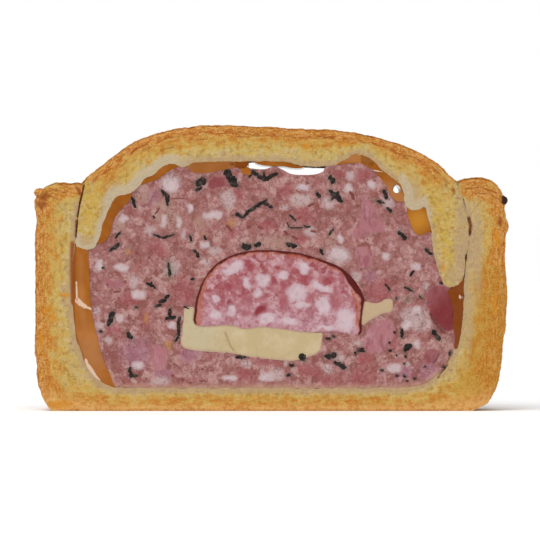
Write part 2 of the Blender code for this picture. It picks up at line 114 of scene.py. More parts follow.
# Patches: how soft their rims are and how far noise bends them, then each one's x, z, width, height, and
# tilt in degrees if it has one.
MEAT_PATCHES = {
    "pale": (0.45, 0.6, [
        (-10.9, 53, 3.8, 4.5), (7.4, 52.8, 5, 3), (14.1, 52, 3, 3.2), (29.4, 52, 2.5, 2.8),
        (21.1, 33.5, 2.5, 3.2), (38.6, 31.2, 2, 2.2), (36.6, 21, 3.5, 2.2), (34.1, 11.8, 1.5, 1.2),
        (22.1, 17, 2.8, 1.5), (-6.1, 11.6, 2.8, 2.2), (1.4, 9.2, 3.8, 3), (14.1, 10.5, 2.8, 2.2),
        (17.1, 13, 2.5, 2), (3.4, 51, 2.5, 1.2), (-43.6, 25.2, 1.5, 2), (-43.2, 21.5, 1.8, 2),
        (-34.4, 32.2, 2.5, 3.2), (-21.9, 44.2, 1.5, 3), (38.9, 22, 2.2, 2.2), (3.6, 12, 1, 2),
        (19.6, 58.8, 2.2, 2.4), (-27.9, 7.6, 5, 2.2), (9.6, 44.8, 3, 2.5), (-14.1, 40.2, 3.5, 2),
        (-30.4, 45.2, 3, 2.5), (-16.6, 37.2, 2.5, 2), (-24.9, 35.8, 3.5, 4), (-40.9, 17.8, 2, 2),
        (16.4, 38.8, 6.2, 4.4), (35.4, 23.6, 6.5, 5), (-25.4, 57, 4.6, 5)]),
    "red": (0.6, 0.9, [
        (3.6, 55, 4.2, 3.5), (-10.1, 44.5, 3, 2.2), (8.6, 48.8, 4.2, 4), (17.1, 59.2, 2.5, 2),
        (22.4, 59, 2, 3), (24.1, 59.2, 2.6, 2), (-0.9, 12, 5.8, 1.8), (9.9, 9.8, 5.5, 3),
        (-6.1, 9, 4.5, 3.5), (14.6, 7, 3.8, 2.2), (30.4, 16.5, 2, 3.5), (36.1, 26.5, 4, 1.5),
        (22.9, 13.2, 4.2, 3.2), (22.4, 8.2, 5.5, 4), (27.1, 30.2, 6, 5), (-31.1, 23, 1.8, 3.5),
        (-39.6, 20, 3.2, 1.5), (-21.6, 30, 5, 5.8), (-28.4, 40.2, 4.2, 3.8), (-0.4, 46.5, 5, 2.5),
        (7.1, 42.8, 2.5, 2.5), (-35.4, 27.8, 5, 2.5), (-7.9, 54, 2.5, 2.5)]),
    "mauve": (0.6, 0.9, [
        (-33.4, 14.5, 8, 7), (-20.4, 14, 4.8, 3.5), (-29.6, 53.4, 3.6, 4), (39.1, 10.2, 4.5, 4.5),
        (33.4, 9.8, 4.5, 3.5), (-27, 9.6, 5, 2.4), (24.5, 33.5, 3, 3)]),
    "beige": (0.6, 0.9, [
        (-32, 54.6, 4.4, 4.6), (0.9, 42, 8.5, 3.5), (7.4, 52.8, 5, 3), (-17.9, 47.2, 3.5, 4),
        (-26.6, 51.5, 4.5, 4), (-37.9, 46.5, 3.5, 5), (14.6, 42.8, 3.5, 3), (28.4, 25.2, 3.5, 2.5),
        (44, 16, 2.5, 5, 20), (-25.6, 48.3, 6.5, 5.5)]),
    "green": (0.8, 0.9, [
        (-25.6, 35.2, 3.2, 4.6), (14.9, 58, 2, 2.2), (27.1, 52.5, 2, 1.5), (-6.1, 41, 3, 2),
        (20.9, 14.5, 1.5, 1.5), (32.6, 19.5, 1.5, 3), (44.6, 31, 2.5, 1.5), (33.9, 28, 3.2, 1.8),
        (-35.4, 41.2, 2, 1.5), (-17.9, 56.8, 3, 2.5)]),
    "ochre": (0.5, 0.5, [
        (-25.9, 16.3, 2.5, 2.5), (-10.1, 46.9, 2.2, 2), (-36.1, 39.8, 1.5, 1.2), (-17.1, 44, 1.5, 1.2),
        (-31.2, 23.2, 1.2, 2.6)])}
SAUSAGE_PATCHES = {
    "fat": (0.4, 0.8, [
        (-9.4, 35.6, 5.2, 2.4, 32), (-6.3, 32, 1.9, 3.4, 10), (-2.2, 32.6, 3.2, 3.8),
        (-3.4, 29.6, 2.2, 2.4), (-13.9, 27.9, 2.3, 1.6, 25), (-10.2, 25.2, 2.2, 2.8), (-13.9, 24, 3, 1.8),
        (6.4, 29.6, 5, 3.8), (12.6, 31, 6.2, 1.8, -25), (12.8, 26.2, 3.6, 4.6), (7.8, 26.6, 4.4, 1.5),
        (-1, 23.3, 4.6, 2.4, 10), (4.6, 22.4, 4.8, 1.8), (18.4, 22.8, 4.6, 5.6), (7.9, 35.8, 2.6, 2.4),
        (2.9, 34, 3, 2), (14, 20.8, 5.5, 1.2)]),
    "lean": (0.7, 1.1, [
        (-2.9, 25.2, 4, 1.8, 35), (-9.1, 31.5, 3.5, 2.5), (8.6, 33.5, 4, 2.5), (14.4, 32.8, 2.5, 2),
        (2.9, 27, 3, 3), (-6.6, 24.8, 2.5, 2), (-12.4, 27.8, 2, 3.5), (15.9, 28.5, 2.5, 5),
        (3.4, 30.2, 3, 3.5), (-5.4, 35.8, 3, 2)]),
    "streak": (0.5, 0.7, [
        (-2.9, 25.3, 3.6, 1.2, 38), (-10.6, 26.6, 1, 3.2, -10)])}
CRUST_PATCHES = {
    "gold": (0.6, 0.8, [
        (-45.6, 50.6, 4.4, 16, -14), (43.2, 43.5, 3.2, 20, 11), (40.6, 53, 3.4, 7, 25), (49, 6.5, 7, 6)]),
    "pale": (0.6, 0.8, [
        (47.6, 41, 3.4, 18), (-40.4, 53.5, 3, 8, -30), (35, 54, 5, 7.5), (-47, 42.3, 4.6, 2.6),
        (45.6, 34, 3.4, 4.6), (49.2, 26, 2.4, 22), (-28, 60.4, 9, 3.6, 20), (51.5, 40.5, 2.8, 22)]),
    "orange": (0.5, 0.4, [
        (-52.9, 1.6, 6, 2), (-51.8, 29.1, 3.2, 1.1), (8.4, 66, 1.6, 1.5), (-56, 25.4, 2.4, 1.6, 20),
        (-54.6, 23.2, 2.2, 1.2, -30), (-20.5, 66.2, 2.2, 0.6, 10), (18.4, 66.6, 2.2, 0.7, -15),
        (43, 35.8, 1.2, 1.5), (55.9, 27, 1, 5), (56.4, 43, 1.2, 4), (-57.6, 18, 1.2, 5)]),
    "burnt": (0.5, 0.5, [
        (58.2, 52.6, 1.5, 1.6), (-48.2, 55, 0.9, 2.6, 20), (57, 47.4, 1, 2), (45.6, 55.2, 0.7, 1.8, 10),
        (44.8, 63, 2.2, 1.2, -45), (-58.6, 54.6, 1.4, 2), (-56.8, 53.6, 3, 2.2, 20), (-57.4, 51.6, 2, 2)])}
GLOW_PATCH = (36.6, 47.6, 5, 5)
MILKY_PATCH = (-45, 15, 5, 10, 20)

# Slivers of black mushroom and of dark cured lean: width, then the points they pass.
MUSHROOM = [
    (0.9, [(-34.9, 53.5), (-34.1, 51)]), (1, [(-27.4, 55.2), (-26.1, 53.5), (-26.1, 51.5)]),
    (1.8, [(-18.6, 56.8), (-16.9, 57.8)]), (0.6, [(-29.6, 44.2), (-27.1, 43.2), (-24.4, 44.2)]),
    (0.6, [(-39.1, 43.2), (-37.9, 44.8)]), (0.8, [(-40.4, 40), (-38.1, 41.8)]),
    (0.9, [(-19.4, 40.2), (-18.1, 38.5)]), (0.7, [(-25.9, 37), (-25.4, 33.8)]),
    (0.6, [(-42.4, 35.8), (-41.9, 35.8)]), (1.9, [(-11.4, 59.8), (-8.9, 56.5)]),
    (1.1, [(-5.6, 58.5), (-4.6, 59.9), (-3.4, 58.8), (-1.9, 58.2), (-0.4, 58.5), (1.4, 59.5)]),
    (0.6, [(-1.9, 59.8), (-1.9, 58.5)]),
    (0.9, [(-7.1, 48.5), (-5.6, 50.2), (-3.9, 51.2), (-2.4, 52), (-1.1, 52.8)]),
    (0.8, [(-1.9, 52), (-0.9, 51.5)]), (0.8, [(-0.6, 51), (0.1, 51)]), (1.5, [(-7.1, 41), (-5.4, 41.2)]),
    (1.2, [(-4.1, 41.5), (-2.9, 41.8)]), (1.2, [(3.9, 41.8), (6.1, 41.2)]),
    (0.4, [(4.4, 49.2), (5.4, 48.2), (6.1, 47.5)]), (0.3, [(3.9, 47.2), (4.4, 45.8), (7.9, 45.8)]),
    (0.6, [(8.1, 46.2), (9.6, 46)]), (0.9, [(11.4, 54.5), (12.1, 53.5)]),
    (0.9, [(12.1, 40.4), (12.9, 39.2)]), (1.2, [(14.6, 55.2), (16.1, 53.8), (17.6, 52.5)]),
    (0.8, [(14.9, 52.8), (16.9, 54.8)]), (1, [(28.1, 55.2), (28.9, 53.2)]),
    (0.8, [(26.4, 52.5), (28.1, 52)]), (1.1, [(31.9, 44.8), (33.4, 43)]),
    (0.6, [(14.4, 44), (15.4, 45.5)]), (0.9, [(38.6, 40.5), (39.9, 39.2)]),
    (0.6, [(34.6, 33.8), (35.6, 35)]), (1.3, [(14.4, 58.2), (15.6, 57.5)]),
    (0.8, [(28.9, 50.8), (29.9, 49.8)]), (1.4, [(-39.6, 24.5), (-40.6, 21.5)]),
    (0.6, [(-31.4, 32), (-28.9, 30.8)]), (0.4, [(-29.9, 32.5), (-30.1, 31.2)]),
    (0.8, [(-28.1, 27.2), (-26.4, 27.8)]), (0.8, [(-28.9, 26), (-27.6, 26.5)]),
    (0.8, [(-26.6, 28.2), (-25.6, 28.8)]), (0.9, [(-25.4, 25.5), (-25.4, 23.8)]),
    (1, [(-26.4, 23.2), (-24.1, 23.5)]),
    (0.9, [(-22.9, 23.5), (-23.4, 21.8), (-23.1, 19.8), (-23.4, 18.5), (-24, 17.5)]),
    (1.2, [(-35.9, 19.5), (-35.1, 18.2)]), (1, [(-35.4, 10.8), (-35.1, 8.8), (-33.6, 8.8)]),
    (0.6, [(-42.9, 20), (-42.4, 19.8)]), (0.5, [(-34.1, 25.8), (-33.6, 26)]),
    (0.7, [(-20.1, 33), (-19.4, 33)]), (0.33, [(-22.1, 26.2), (-20.6, 25.5)]),
    (0.8, [(-8.9, 13.4), (-6.6, 13.4)]), (1.8, [(7.1, 13.5), (8.1, 13.2)]),
    (1.5, [(13.6, 13.5), (15.9, 14)]), (1.2, [(15.9, 12.2), (18.4, 10.8)]),
    (0.8, [(4.6, 11.5), (5.4, 11.5)]), (0.8, [(3.9, 8.8), (4.6, 9)]), (0.6, [(13.6, 18.1), (14.6, 18.1)]),
    (0.5, [(15.1, 18.8), (15.9, 18.5)]), (1.2, [(40.4, 20), (41.9, 17.8)]),
    (1.5, [(33.4, 15.2), (34.6, 16.5)]), (0.5, [(21.4, 15.5), (23.1, 15.5)]),
    (0.5, [(21.4, 15), (23.4, 15)]), (0.6, [(30.6, 19.8), (30.9, 19.5)]),
    (0.6, [(29.4, 17.2), (29.6, 17)]), (0.6, [(29.4, 15.2), (29.9, 15.2)]),
    (0.5, [(31.1, 14), (31.4, 13.8)]), (0.6, [(33.4, 13.8), (33.6, 13.5)]),
    (0.5, [(33.1, 12), (33.4, 11.8)]), (0.6, [(38.1, 11), (38.6, 11)]), (0.6, [(27.4, 10.2), (27.9, 10)]),
    (0.6, [(31.1, 8.8), (31.6, 8.8)]), (0.6, [(33.1, 8.8), (33.4, 8.5)]), (0.6, [(35.6, 8.2), (35.9, 8)]),
    (0.5, [(33.6, 7.5), (34.1, 7.5)]), (0.6, [(31.1, 28.2), (31.4, 28)]),
    (0.5, [(37.1, 28.8), (37.4, 28.2)]), (0.5, [(28.4, 31.8), (29.6, 30.2)]),
    (0.5, [(33.1, 31), (35.4, 30)]), (0.6, [(42, 32.1), (42.7, 31.7)]), (0.6, [(44.6, 14.8), (44.6, 14)]),
    (0.6, [(42.9, 11.2), (43.4, 10.8)]), (0.5, [(20.9, 14.8), (21.1, 14)]),
    (0.9, [(-8.9, 49.2), (-7.1, 48.5)]), (0.8, [(32.6, 20.5), (32.6, 18.5)]),
    (0.6, [(-16.9, 43.8), (-16.4, 42.8)]), (0.6, [(-20.4, 43.8), (-20.1, 42.5)]),
    (0.5, [(-29.6, 48.8), (-29.4, 48.2)]), (0.8, [(-18.9, 55.2), (-17.6, 56)])]
DARK_LEAN = [
    (0.6, [(9.1, 51.2), (10.6, 52)]), (0.5, [(1.1, 52), (1.4, 51.8)]), (0.6, [(3.1, 45), (4.1, 44.2)]),
    (0.6, [(9.9, 45), (11.1, 44.8)]), (0.9, [(19.6, 54.8), (20.6, 53)]),
    (0.5, [(-39.4, 29.8), (-38.1, 29.8)]), (0.4, [(-41.1, 31.8), (-41.1, 31.2)]),
    (0.4, [(-36.9, 32.5), (-36.4, 32.2)]), (0.5, [(-22.6, 7.8), (-22.1, 7.8)]),
    (0.5, [(-24.9, 9), (-24.6, 8.8)]), (0.5, [(-17.6, 10.5), (-17.1, 10.5)]),
    (0.4, [(-31.4, 8.2), (-31.1, 8)]), (0.6, [(-18.1, 7.5), (-16.6, 7.5)]),
    (0.45, [(-20.6, 7), (-20.1, 7)]), (0.5, [(-30.6, 38.5), (-30.4, 38.2)]),
    (0.5, [(-33.9, 39.8), (-33.4, 39.2)]), (0.38, [(-29.1, 49.2), (-27.9, 51)]),
    (0.38, [(-24.4, 53.2), (-21.9, 53.2)]), (0.5, [(-11.4, 46.5), (-9.9, 45)]),
    (0.6, [(5.1, 43.8), (6.4, 43)]), (0.5, [(-6.1, 45.8), (-5.4, 46.2)]),
    (0.5, [(-3.4, 46.2), (-2.1, 45.5)])]
# The nodes that a sliver on the back keeps clear of.
CLEAR_OF = ("sausage", "cheese_slab", "cheese_bit", "ham_crimson", "ham_right", "ham_low", "ham_left")

# Cracks, streaks, ridges and grooves: width, then the points they pass.
CRUST_CRACKS = [
    (0.42, [(-46.9, 56.4), (-47.3, 54.6), (-48.1, 51.3), (-48.6, 48.6)]),
    (0.5, [(-48.7, 47.6), (-48.9, 45), (-49, 43.5)]), (0.7, [(49.4, 48.2), (49.8, 46.2), (49.6, 44.4)]),
    (0.3, [(48.5, 38.6), (48.7, 37.6)]), (0.3, [(45.1, 15.2), (43.6, 11), (41.6, 8.4)])]
LID_STREAKS = [
    (0.28, [(-34.9, 64.7), (-33.2, 65.8)]), (0.35, [(-32.2, 65.1), (-30.2, 65.8)]),
    (0.35, [(-27.4, 65.2), (-24.4, 65.9)]), (0.3, [(-38, 60.8), (-36.2, 62.4)]),
    (0.3, [(-20.4, 67.8), (-16.2, 68)]), (0.25, [(-47.2, 56.9), (-46.3, 58.2)]),
    (0.3, [(11.5, 68.6), (16, 68.2)]), (0.35, [(30.5, 64.9), (33.8, 63.2)]),
    (0.3, [(-57.8, 54.6), (-54.5, 55.3), (-51.5, 54.6)]),
    (0.25, [(-58.2, 53.2), (-55.5, 53.8), (-53.5, 53.2)]),
    (0.3, [(48.5, 55.6), (52.5, 55.9), (56.5, 54.4)]), (0.25, [(51, 54.4), (54.5, 54.3), (57.5, 52.6)]),
    (0.3, [(38.5, 60.6), (41, 58.2)]), (0.35, [(43.2, 57.6), (44.2, 55.2)]),
    (0.3, [(-9, 68.6), (-3, 68.7)])]
# The jelly's ridges are raised, and their pale tint is a painted highlight.
JELLY_GLINT_RIDGES = [
    (0.45, [(-48.8, 32.2), (-48.7, 28)]), (1.4, [(-48.5, 27.6), (-47.8, 26.9)]),
    (1.1, [(-47.8, 26.9), (-46.6, 26.1)]), (0.6, [(-46.6, 26.1), (-45.1, 25.5)]),
    (0.7, [(-46.5, 12.8), (-45.8, 11.2)]), (1.1, [(-45.8, 11.2), (-44.4, 9.2)]),
    (0.8, [(-44.4, 9.2), (-43.1, 7.5)]), (0.5, [(-43.1, 7.5), (-42.1, 6.5)]),
    (0.4, [(46.8, 28.6), (47.7, 28.4)]), (0.3, [(20, 61.7), (20.9, 61.3)]),
    (0.3, [(25.2, 60.2), (27.6, 59.8)])]
JELLY_STAINS = [
    (1.2, [(-49.8, 42), (-49.9, 35.2), (-49.7, 27.2)]),
    (0.5, [(39.2, 44.5), (39.9, 41.5), (40.2, 39), (41, 36.5), (41.7, 34.2)])]
# The jelly's grooves are cut in shallow, and the jelly is darkened along them as painted shade.
JELLY_SHADE_GROOVES = [
    (1.1, [(-49.4, 41.8), (-49.5, 35.2), (-49.4, 27.8)]),
    (0.5, [(-49.6, 27.8), (-49.4, 20.2), (-47.9, 15.2), (-46.1, 11.8), (-41.9, 6)])]
HAM_EDGES = [
    (0.7, [(39.7, 24.2), (40.6, 22.5), (41.6, 21.1), (43, 19.9)]),
    (0.35, [(43.2, 19.5), (43.3, 17.7), (42.6, 15.8), (41.7, 14), (40.9, 12.3), (39.6, 11.1)])]
SAUSAGE_TAN = [(0.6, [(20, 30.2), (21, 27.5), (21.4, 24.5), (21.3, 21.8)])]
SAUSAGE_ENDS = ((-19.2, 22), (22, 19.5))
CHEESE_CRACK = [(-11.6, 19.6), (-10.9, 17.9), (-10.4, 16.5), (-9.5, 15.2)]

# Outlines of the thin jelly on the cut's edges and of the meat in front of the jelly under the lid, the
# gaps under the lid as patches, and the hole in the jelly: x, z, radius.
JELLY_FILMS = {
    "jelly_film_right": [
        (16.4, 61.7), (17.4, 62.5), (18.6, 63.2), (20.1, 63.8), (21.4, 64.2), (22.4, 64.1), (23.6, 63.6),
        (24.9, 62.8), (25.6, 61.5), (24.6, 61), (23.1, 61.9), (21.4, 62.2), (19.6, 62.2), (17.9, 62)],
    "jelly_film_wedge": [
        (-10.6, 61.8), (-8.4, 62.6), (-6.1, 62.5), (-5.6, 61.6), (-6.9, 60.6), (-8.9, 61.1)],
    "jelly_film_hole": [
        (31.4, 57.4), (32.6, 56.6), (33.4, 55.5), (33, 54.4), (32.4, 54.7), (32.6, 55.6), (32.2, 56.4),
        (31.4, 56.8)],
    "jelly_film_disc": [
        (44.2, 29.8), (45, 28.2), (45.5, 26.5), (45.7, 24.8), (45.7, 22.8), (45.6, 21), (46, 19.2),
        (46.1, 17.5), (45.9, 15.8), (46.2, 15.6), (46.7, 17.5), (47.2, 20.2), (47.6, 23.8), (47.7, 27.2),
        (47.6, 30.2), (46.4, 30.8), (45.1, 30.4)],
    "jelly_film_crumb": [
        (-7.6, 61), (-5.6, 61), (-5.4, 59.2), (-7.1, 59.5)]}
MEAT_TOP = [
    (13.4, 60.6), (14.4, 61.1), (16.1, 61.7), (17.9, 62.1), (19.6, 62.4), (21.4, 62.4), (23.1, 62),
    (24.6, 61.1), (26.1, 60), (27.1, 58.8), (25.1, 58.2), (19.6, 58.5), (15.9, 58.8), (13.9, 59.5)]
VOIDS = [(-3, 61.3, 8, 2.4), (7.3, 60.2, 14, 3.4)]
HOLE = (31.3, 55.7, 1.2)

# How deep and brown the jelly looks, how red each chunk of ham is, and the loose pieces on the walls' rims:
# place, radii, burn, bake and seed.
JELLY_DEPTH = {
    "aspic_far_right": 1.0, "aspic_pocket_low": 0.45, "aspic_pocket_mid": 0.45, "aspic_pocket_top": 0.55,
    "aspic_rim": 0.5, "aspic_pocket_right": 0.3, "aspic_drop_right": 0.3, "jelly_film_wedge": 1.0,
    "jelly_film_disc": 1.0}
HAM_CRIMSON = {"ham_crimson": 1.0, "ham_top": 1.3, "ham_left": 0.5, "ham_rust": 0.5, "ham_centre": 0.12}
FLAKES = {
    "crust_flake_right": ((58.3, -5.9, 46.2), (1.0, 1.1, 1.9), 0.0, 0.12, 3),
    "crust_flake_left": ((-57.8, -6.2, 54.6), (1.7, 1.2, 1.15), 0.0, 0.16, 9),
    "burnt_speck": ((58.1, -6.75, 52.7), (0.95, 0.8, 1.15), 1.0, 0.0, 5)}

# Where the camera looks, x and z in millimetres, and the height that the softbox is turned to, in metres.
VIEW_CENTRE = (-0.39, 35.25)
LAMP_AIM = 0.035


def linear(code):
    """sRGB hex to linear colour, through the standard transfer curve."""
    values = [int(code[at:at + 2], 16) / 255 for at in (0, 2, 4)]
    return tuple(v / 12.92 if v <= 0.04045 else ((v + 0.055) / 1.055) ** 2.4 for v in values)


def tint(name, description, code):
    """A colour property whose default is an sRGB hex colour turned linear."""
    return FloatVectorProperty(name=name, description=description, subtype="COLOR", min=0.0, max=1.0,
                               default=linear(code))


def tones(value):
    """Four linear channels from an sRGB hex colour or from a colour property."""
    return (*(linear(value) if isinstance(value, str) else value), 1.0)


# Shapes

def lattice(points, size, seed):
    """Value noise, -1 to 1: random numbers at the corners of cubes of this size, blended smoothly."""
    scaled = points / size
    cell = np.floor(scaled).astype(np.int64)
    part = scaled - cell
    part = part * part * (3 - 2 * part)
    total = np.zeros(len(points))
    for corner in np.ndindex(2, 2, 2):
        at = cell + corner
        mixed = at[:, 0] * 374761393 + at[:, 1] * 668265263 + at[:, 2] * 974711 + seed * 1274126177
        mixed = mixed & 0xffffffff
        mixed = ((mixed ^ (mixed >> 13)) * 1274126177) & 0xffffffff
        mixed = mixed ^ (mixed >> 16)
        weight = np.ones(len(points))
        for axis in range(3):
            weight = weight * (part[:, axis] if corner[axis] else 1 - part[:, axis])
        total += weight * (mixed & 0xffff) / 32767.5
    return total - 1


def lumps(points, size, seed=1, octaves=3):
    """Sum of value noise, each octave half the size and half the height of the one before."""
    total, height = 0, 1.0
    for octave in range(octaves):
        total = total + height * lattice(points, size / 2 ** octave, seed + octave)
        height *= 0.5
    return total / 1.5


def fade(value):
    """Smooth step from 0 to 1."""
    t = np.clip(value, 0, 1)
    return t * t * (3 - 2 * t)


def mesh_arrays(obj):
    """A mesh's points and triangles as arrays."""
    mesh = obj.data
    points = np.empty(len(mesh.vertices) * 3)
    mesh.vertices.foreach_get("co", points)
    mesh.calc_loop_triangles()
    triangles = np.empty(len(mesh.loop_triangles) * 3, dtype=np.int64)
    mesh.loop_triangles.foreach_get("vertices", triangles)
    return points.reshape(-1, 3), triangles.reshape(-1, 3)


def cut_outline(node, side=-1):
    """The longest loop of edges that only one triangle of the node's cut face has."""
    points, triangles = mesh_arrays(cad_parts[node])
    keys, same = np.unique(np.round(points / (0.002 * MM)).astype(np.int64), axis=0, return_inverse=True)
    same = same.reshape(-1)
    places = np.zeros((len(keys), 3))
    places[same] = points
    triangles = same[triangles]
    flat = np.all(places[triangles][:, :, 1] * side > HALF - 0.02 * MM, axis=1)
    triangles = triangles[flat]
    edges = np.concatenate([triangles[:, [0, 1]], triangles[:, [1, 2]], triangles[:, [2, 0]]])
    ends = {tuple(edge) for edge in edges.tolist()}
    following = {start: end for start, end in ends if (end, start) not in ends}
    loops = []
    while following:
        here = next(iter(following))
        loop = []
        while here in following:
            loop.append(here)
            here = following.pop(here)
        loops.append(places[loop][:, [0, 2]])
    return max(loops, key=lambda loop: np.linalg.norm(np.diff(loop, axis=0), axis=1).sum())


def resample(line, count):
    """The same line with this many even steps."""
    travelled = np.concatenate([[0], np.cumsum(np.linalg.norm(np.diff(line, axis=0), axis=1))])
    at = np.linspace(0, travelled[-1], count + 1)
    return np.column_stack([np.interp(at, travelled, line[:, k]) for k in range(line.shape[1])])


def even_loop(loop, step, soften=0.0, grow=0.0):
    """Resample a closed loop at even steps, round it over a length, and move it outwards."""
    closed = np.vstack([loop, loop[:1]])
    length = np.linalg.norm(np.diff(closed, axis=0), axis=1).sum()
    even = resample(closed, max(24, int(length / step)))[:-1]
    reach = int(round(soften / step))
    if reach > 0:
        even = np.mean([np.roll(even, shift, axis=0) for shift in range(-reach, reach + 1)], axis=0)
    along = np.roll(even, -1, axis=0) - np.roll(even, 1, axis=0)
    along /= np.maximum(np.linalg.norm(along, axis=1)[:, None], 1e-12)
    normal = np.column_stack([along[:, 1], -along[:, 0]])
    after = np.roll(even, -1, axis=0)
    if np.sum(even[:, 0] * after[:, 1] - after[:, 0] * even[:, 1]) < 0:
        normal = -normal
    return even + normal * grow


def nearest(loop, place):
    """Which point of the loop lies nearest to a place in millimetres."""
    return int(np.argmin(np.sum((loop - np.array(place) * MM) ** 2, axis=1)))


def rails(loop, stations, step):
    """Cut a loop at its two poles into two rails, sampled so that paired stations stay paired."""
    first = [nearest(loop, a) for a, _ in stations]
    second = [nearest(loop, b) for _, b in stations]
    second[0], second[-1] = first[0], first[-1]
    if ((first[1] - first[0]) % len(loop)) > len(loop) / 2:
        loop = loop[::-1]
        first = [len(loop) - 1 - at for at in first]
        second = [len(loop) - 1 - at for at in second]

    def stretch(start, end):
        """The loop's points from start round to end."""
        return loop[(start + np.arange((end - start) % len(loop) + 1)) % len(loop)]

    sides = [[], []]
    for now, then in zip(range(len(stations) - 1), range(1, len(stations))):
        pair = stretch(first[now], first[then]), stretch(second[then], second[now])[::-1]
        longest = max(np.linalg.norm(np.diff(p, axis=0), axis=1).sum() for p in pair)
        count = max(2, int(math.ceil(longest / step)))
        for side, piece in zip(sides, pair):
            side.append(resample(piece, count)[(1 if now else 0):])
    return np.vstack(sides[0]), np.vstack(sides[1])


def between(rail_a, rail_b, rows, settle):
    """Straight rungs from rail to rail, then each inner point goes to the mean of its neighbours."""
    v = np.linspace(0, 1, rows + 1)[:, None, None]
    grid = rail_a * (1 - v) + rail_b * v
    for _ in range(settle):
        inner = grid[:-2, 1:-1] + grid[2:, 1:-1] + grid[1:-1, :-2] + grid[1:-1, 2:]
        grid[1:-1, 1:-1] = inner / 4
    return grid


def sheet_faces(shape, offset, flip):
    """Two triangles for each cell of a grid."""
    rows, columns = shape
    at = offset + np.arange(rows * columns).reshape(rows, columns)
    a, b, c, d = at[:-1, :-1], at[:-1, 1:], at[1:, 1:], at[1:, :-1]
    quads = np.stack([a, b, c, d], axis=-1).reshape(-1, 4)
    if flip:
        quads = quads[:, ::-1]
    return np.concatenate([quads[:, [0, 1, 2]], quads[:, [0, 2, 3]]])


def weld(sheets):
    """Join sheets into one closed skin: points in one place become one, and empty triangles go."""
    points = np.concatenate([sheet.reshape(-1, 3) for sheet, _ in sheets])
    faces, offset = [], 0
    for sheet, towards in sheets:
        facing = np.cross(sheet[:-1, 1:] - sheet[:-1, :-1], sheet[1:, :-1] - sheet[:-1, :-1])
        outside = towards[:-1, :-1] if towards.ndim == 3 else towards
        faces.append(sheet_faces(sheet.shape[:2], offset, np.sum(facing * outside) < 0))
        offset += sheet.shape[0] * sheet.shape[1]
    faces = np.concatenate(faces)
    _, first, same = np.unique(np.round(points / (0.0005 * MM)).astype(np.int64), axis=0,
                               return_index=True, return_inverse=True)
    faces = same.reshape(-1)[faces]
    real = (faces[:, 0] != faces[:, 1]) & (faces[:, 1] != faces[:, 2]) & (faces[:, 2] != faces[:, 0])
    return points[first], faces[real]


def slab(loop, stations, step, rows, back_rows, layers, front_y, back_y, settle=60):
    """A plate between two cut faces: each face is the grid between its rails, and the sides run through."""
    rail_a, rail_b = rails(loop, stations, step)

    def face(y, count):
        """A cut face at this y."""
        flat = between(rail_a, rail_b, count, settle)
        return np.stack([flat[..., 0], np.full(flat.shape[:2], y), flat[..., 1]], axis=-1)

    def side(rail, other):
        """A wall along one rail, and the directions away from the other rail."""
        ys = np.linspace(front_y, back_y, layers + 1)[:, None]
        xs = np.broadcast_to(rail[None, :, 0], (layers + 1, len(rail)))
        zs = np.broadcast_to(rail[None, :, 1], xs.shape)
        wall = np.stack([xs, np.broadcast_to(ys, xs.shape), zs], axis=-1)
        out = rail - other
        away = np.column_stack([out[:, 0], 0 * out[:, 0], out[:, 1]])
        return wall, np.broadcast_to(away[None], wall.shape)

    return weld([
        (face(front_y, rows), np.array([0.0, -1.0, 0.0])),
        (face(back_y, back_rows), np.array([0.0, 1.0, 0.0])),
        side(rail_a, rail_b), side(rail_b, rail_a)])


def end_stations(loop):
    """Poles at a loop's left and right ends."""
    low, high = tuple(loop[np.argmin(loop[:, 0])] / MM), tuple(loop[np.argmax(loop[:, 0])] / MM)
    return [(low, low), (high, high)]


def normals_of(points, faces):
    """Each point's normal: the sum of its triangles' cross products, made one long."""
    corner = points[faces]
    across = np.cross(corner[:, 1] - corner[:, 0], corner[:, 2] - corner[:, 0])
    total = np.column_stack([
        np.bincount(faces.reshape(-1), np.repeat(across[:, k], 3), minlength=len(points)) for k in range(3)])
    return total / np.maximum(np.linalg.norm(total, axis=1)[:, None], 1e-15)


def distance_to(points, line, closed=False):
    """Distance in the cut face from each point to a line's segments, and the length along it there."""
    start = line if closed else line[:-1]
    run = (np.roll(line, -1, axis=0) if closed else line[1:]) - start
    length = np.maximum(np.linalg.norm(run, axis=1), 1e-12)
    travelled = np.concatenate([[0], np.cumsum(length)[:-1]])
    flat = points[:, [0, 2]]
    best, along = np.empty(len(flat)), np.empty(len(flat))
    for begin in range(0, len(flat), BATCH):
        some = flat[begin:begin + BATCH]
        x, z = some[:, None, 0] - start[None, :, 0], some[:, None, 1] - start[None, :, 1]
        t = np.clip((x * run[:, 0] + z * run[:, 1]) / length ** 2, 0, 1)
        gap = (x - t * run[:, 0]) ** 2 + (z - t * run[:, 1]) ** 2
        pick = np.argmin(gap, axis=1)
        rows = np.arange(len(some))
        best[begin:begin + BATCH] = np.sqrt(gap[rows, pick])
        along[begin:begin + BATCH] = travelled[pick] + t[rows, pick] * length[pick]
    return best, along


def within(flat, loop):
    """Which points lie inside a loop: those with an odd number of its edges to their right."""
    after = np.roll(loop, -1, axis=0)
    rise = np.where(after[:, 1] == loop[:, 1], 1e-12, after[:, 1] - loop[:, 1])
    found = np.empty(len(flat), dtype=bool)
    for begin in range(0, len(flat), BATCH):
        x, z = flat[begin:begin + BATCH, None, 0], flat[begin:begin + BATCH, None, 1]
        spans = (loop[None, :, 1] > z) != (after[None, :, 1] > z)
        crossing = loop[:, 0] + (z - loop[:, 1]) / rise * (after[:, 0] - loop[:, 0])
        found[begin:begin + BATCH] = np.sum(spans & (x < crossing), axis=1) % 2 == 1
    return found


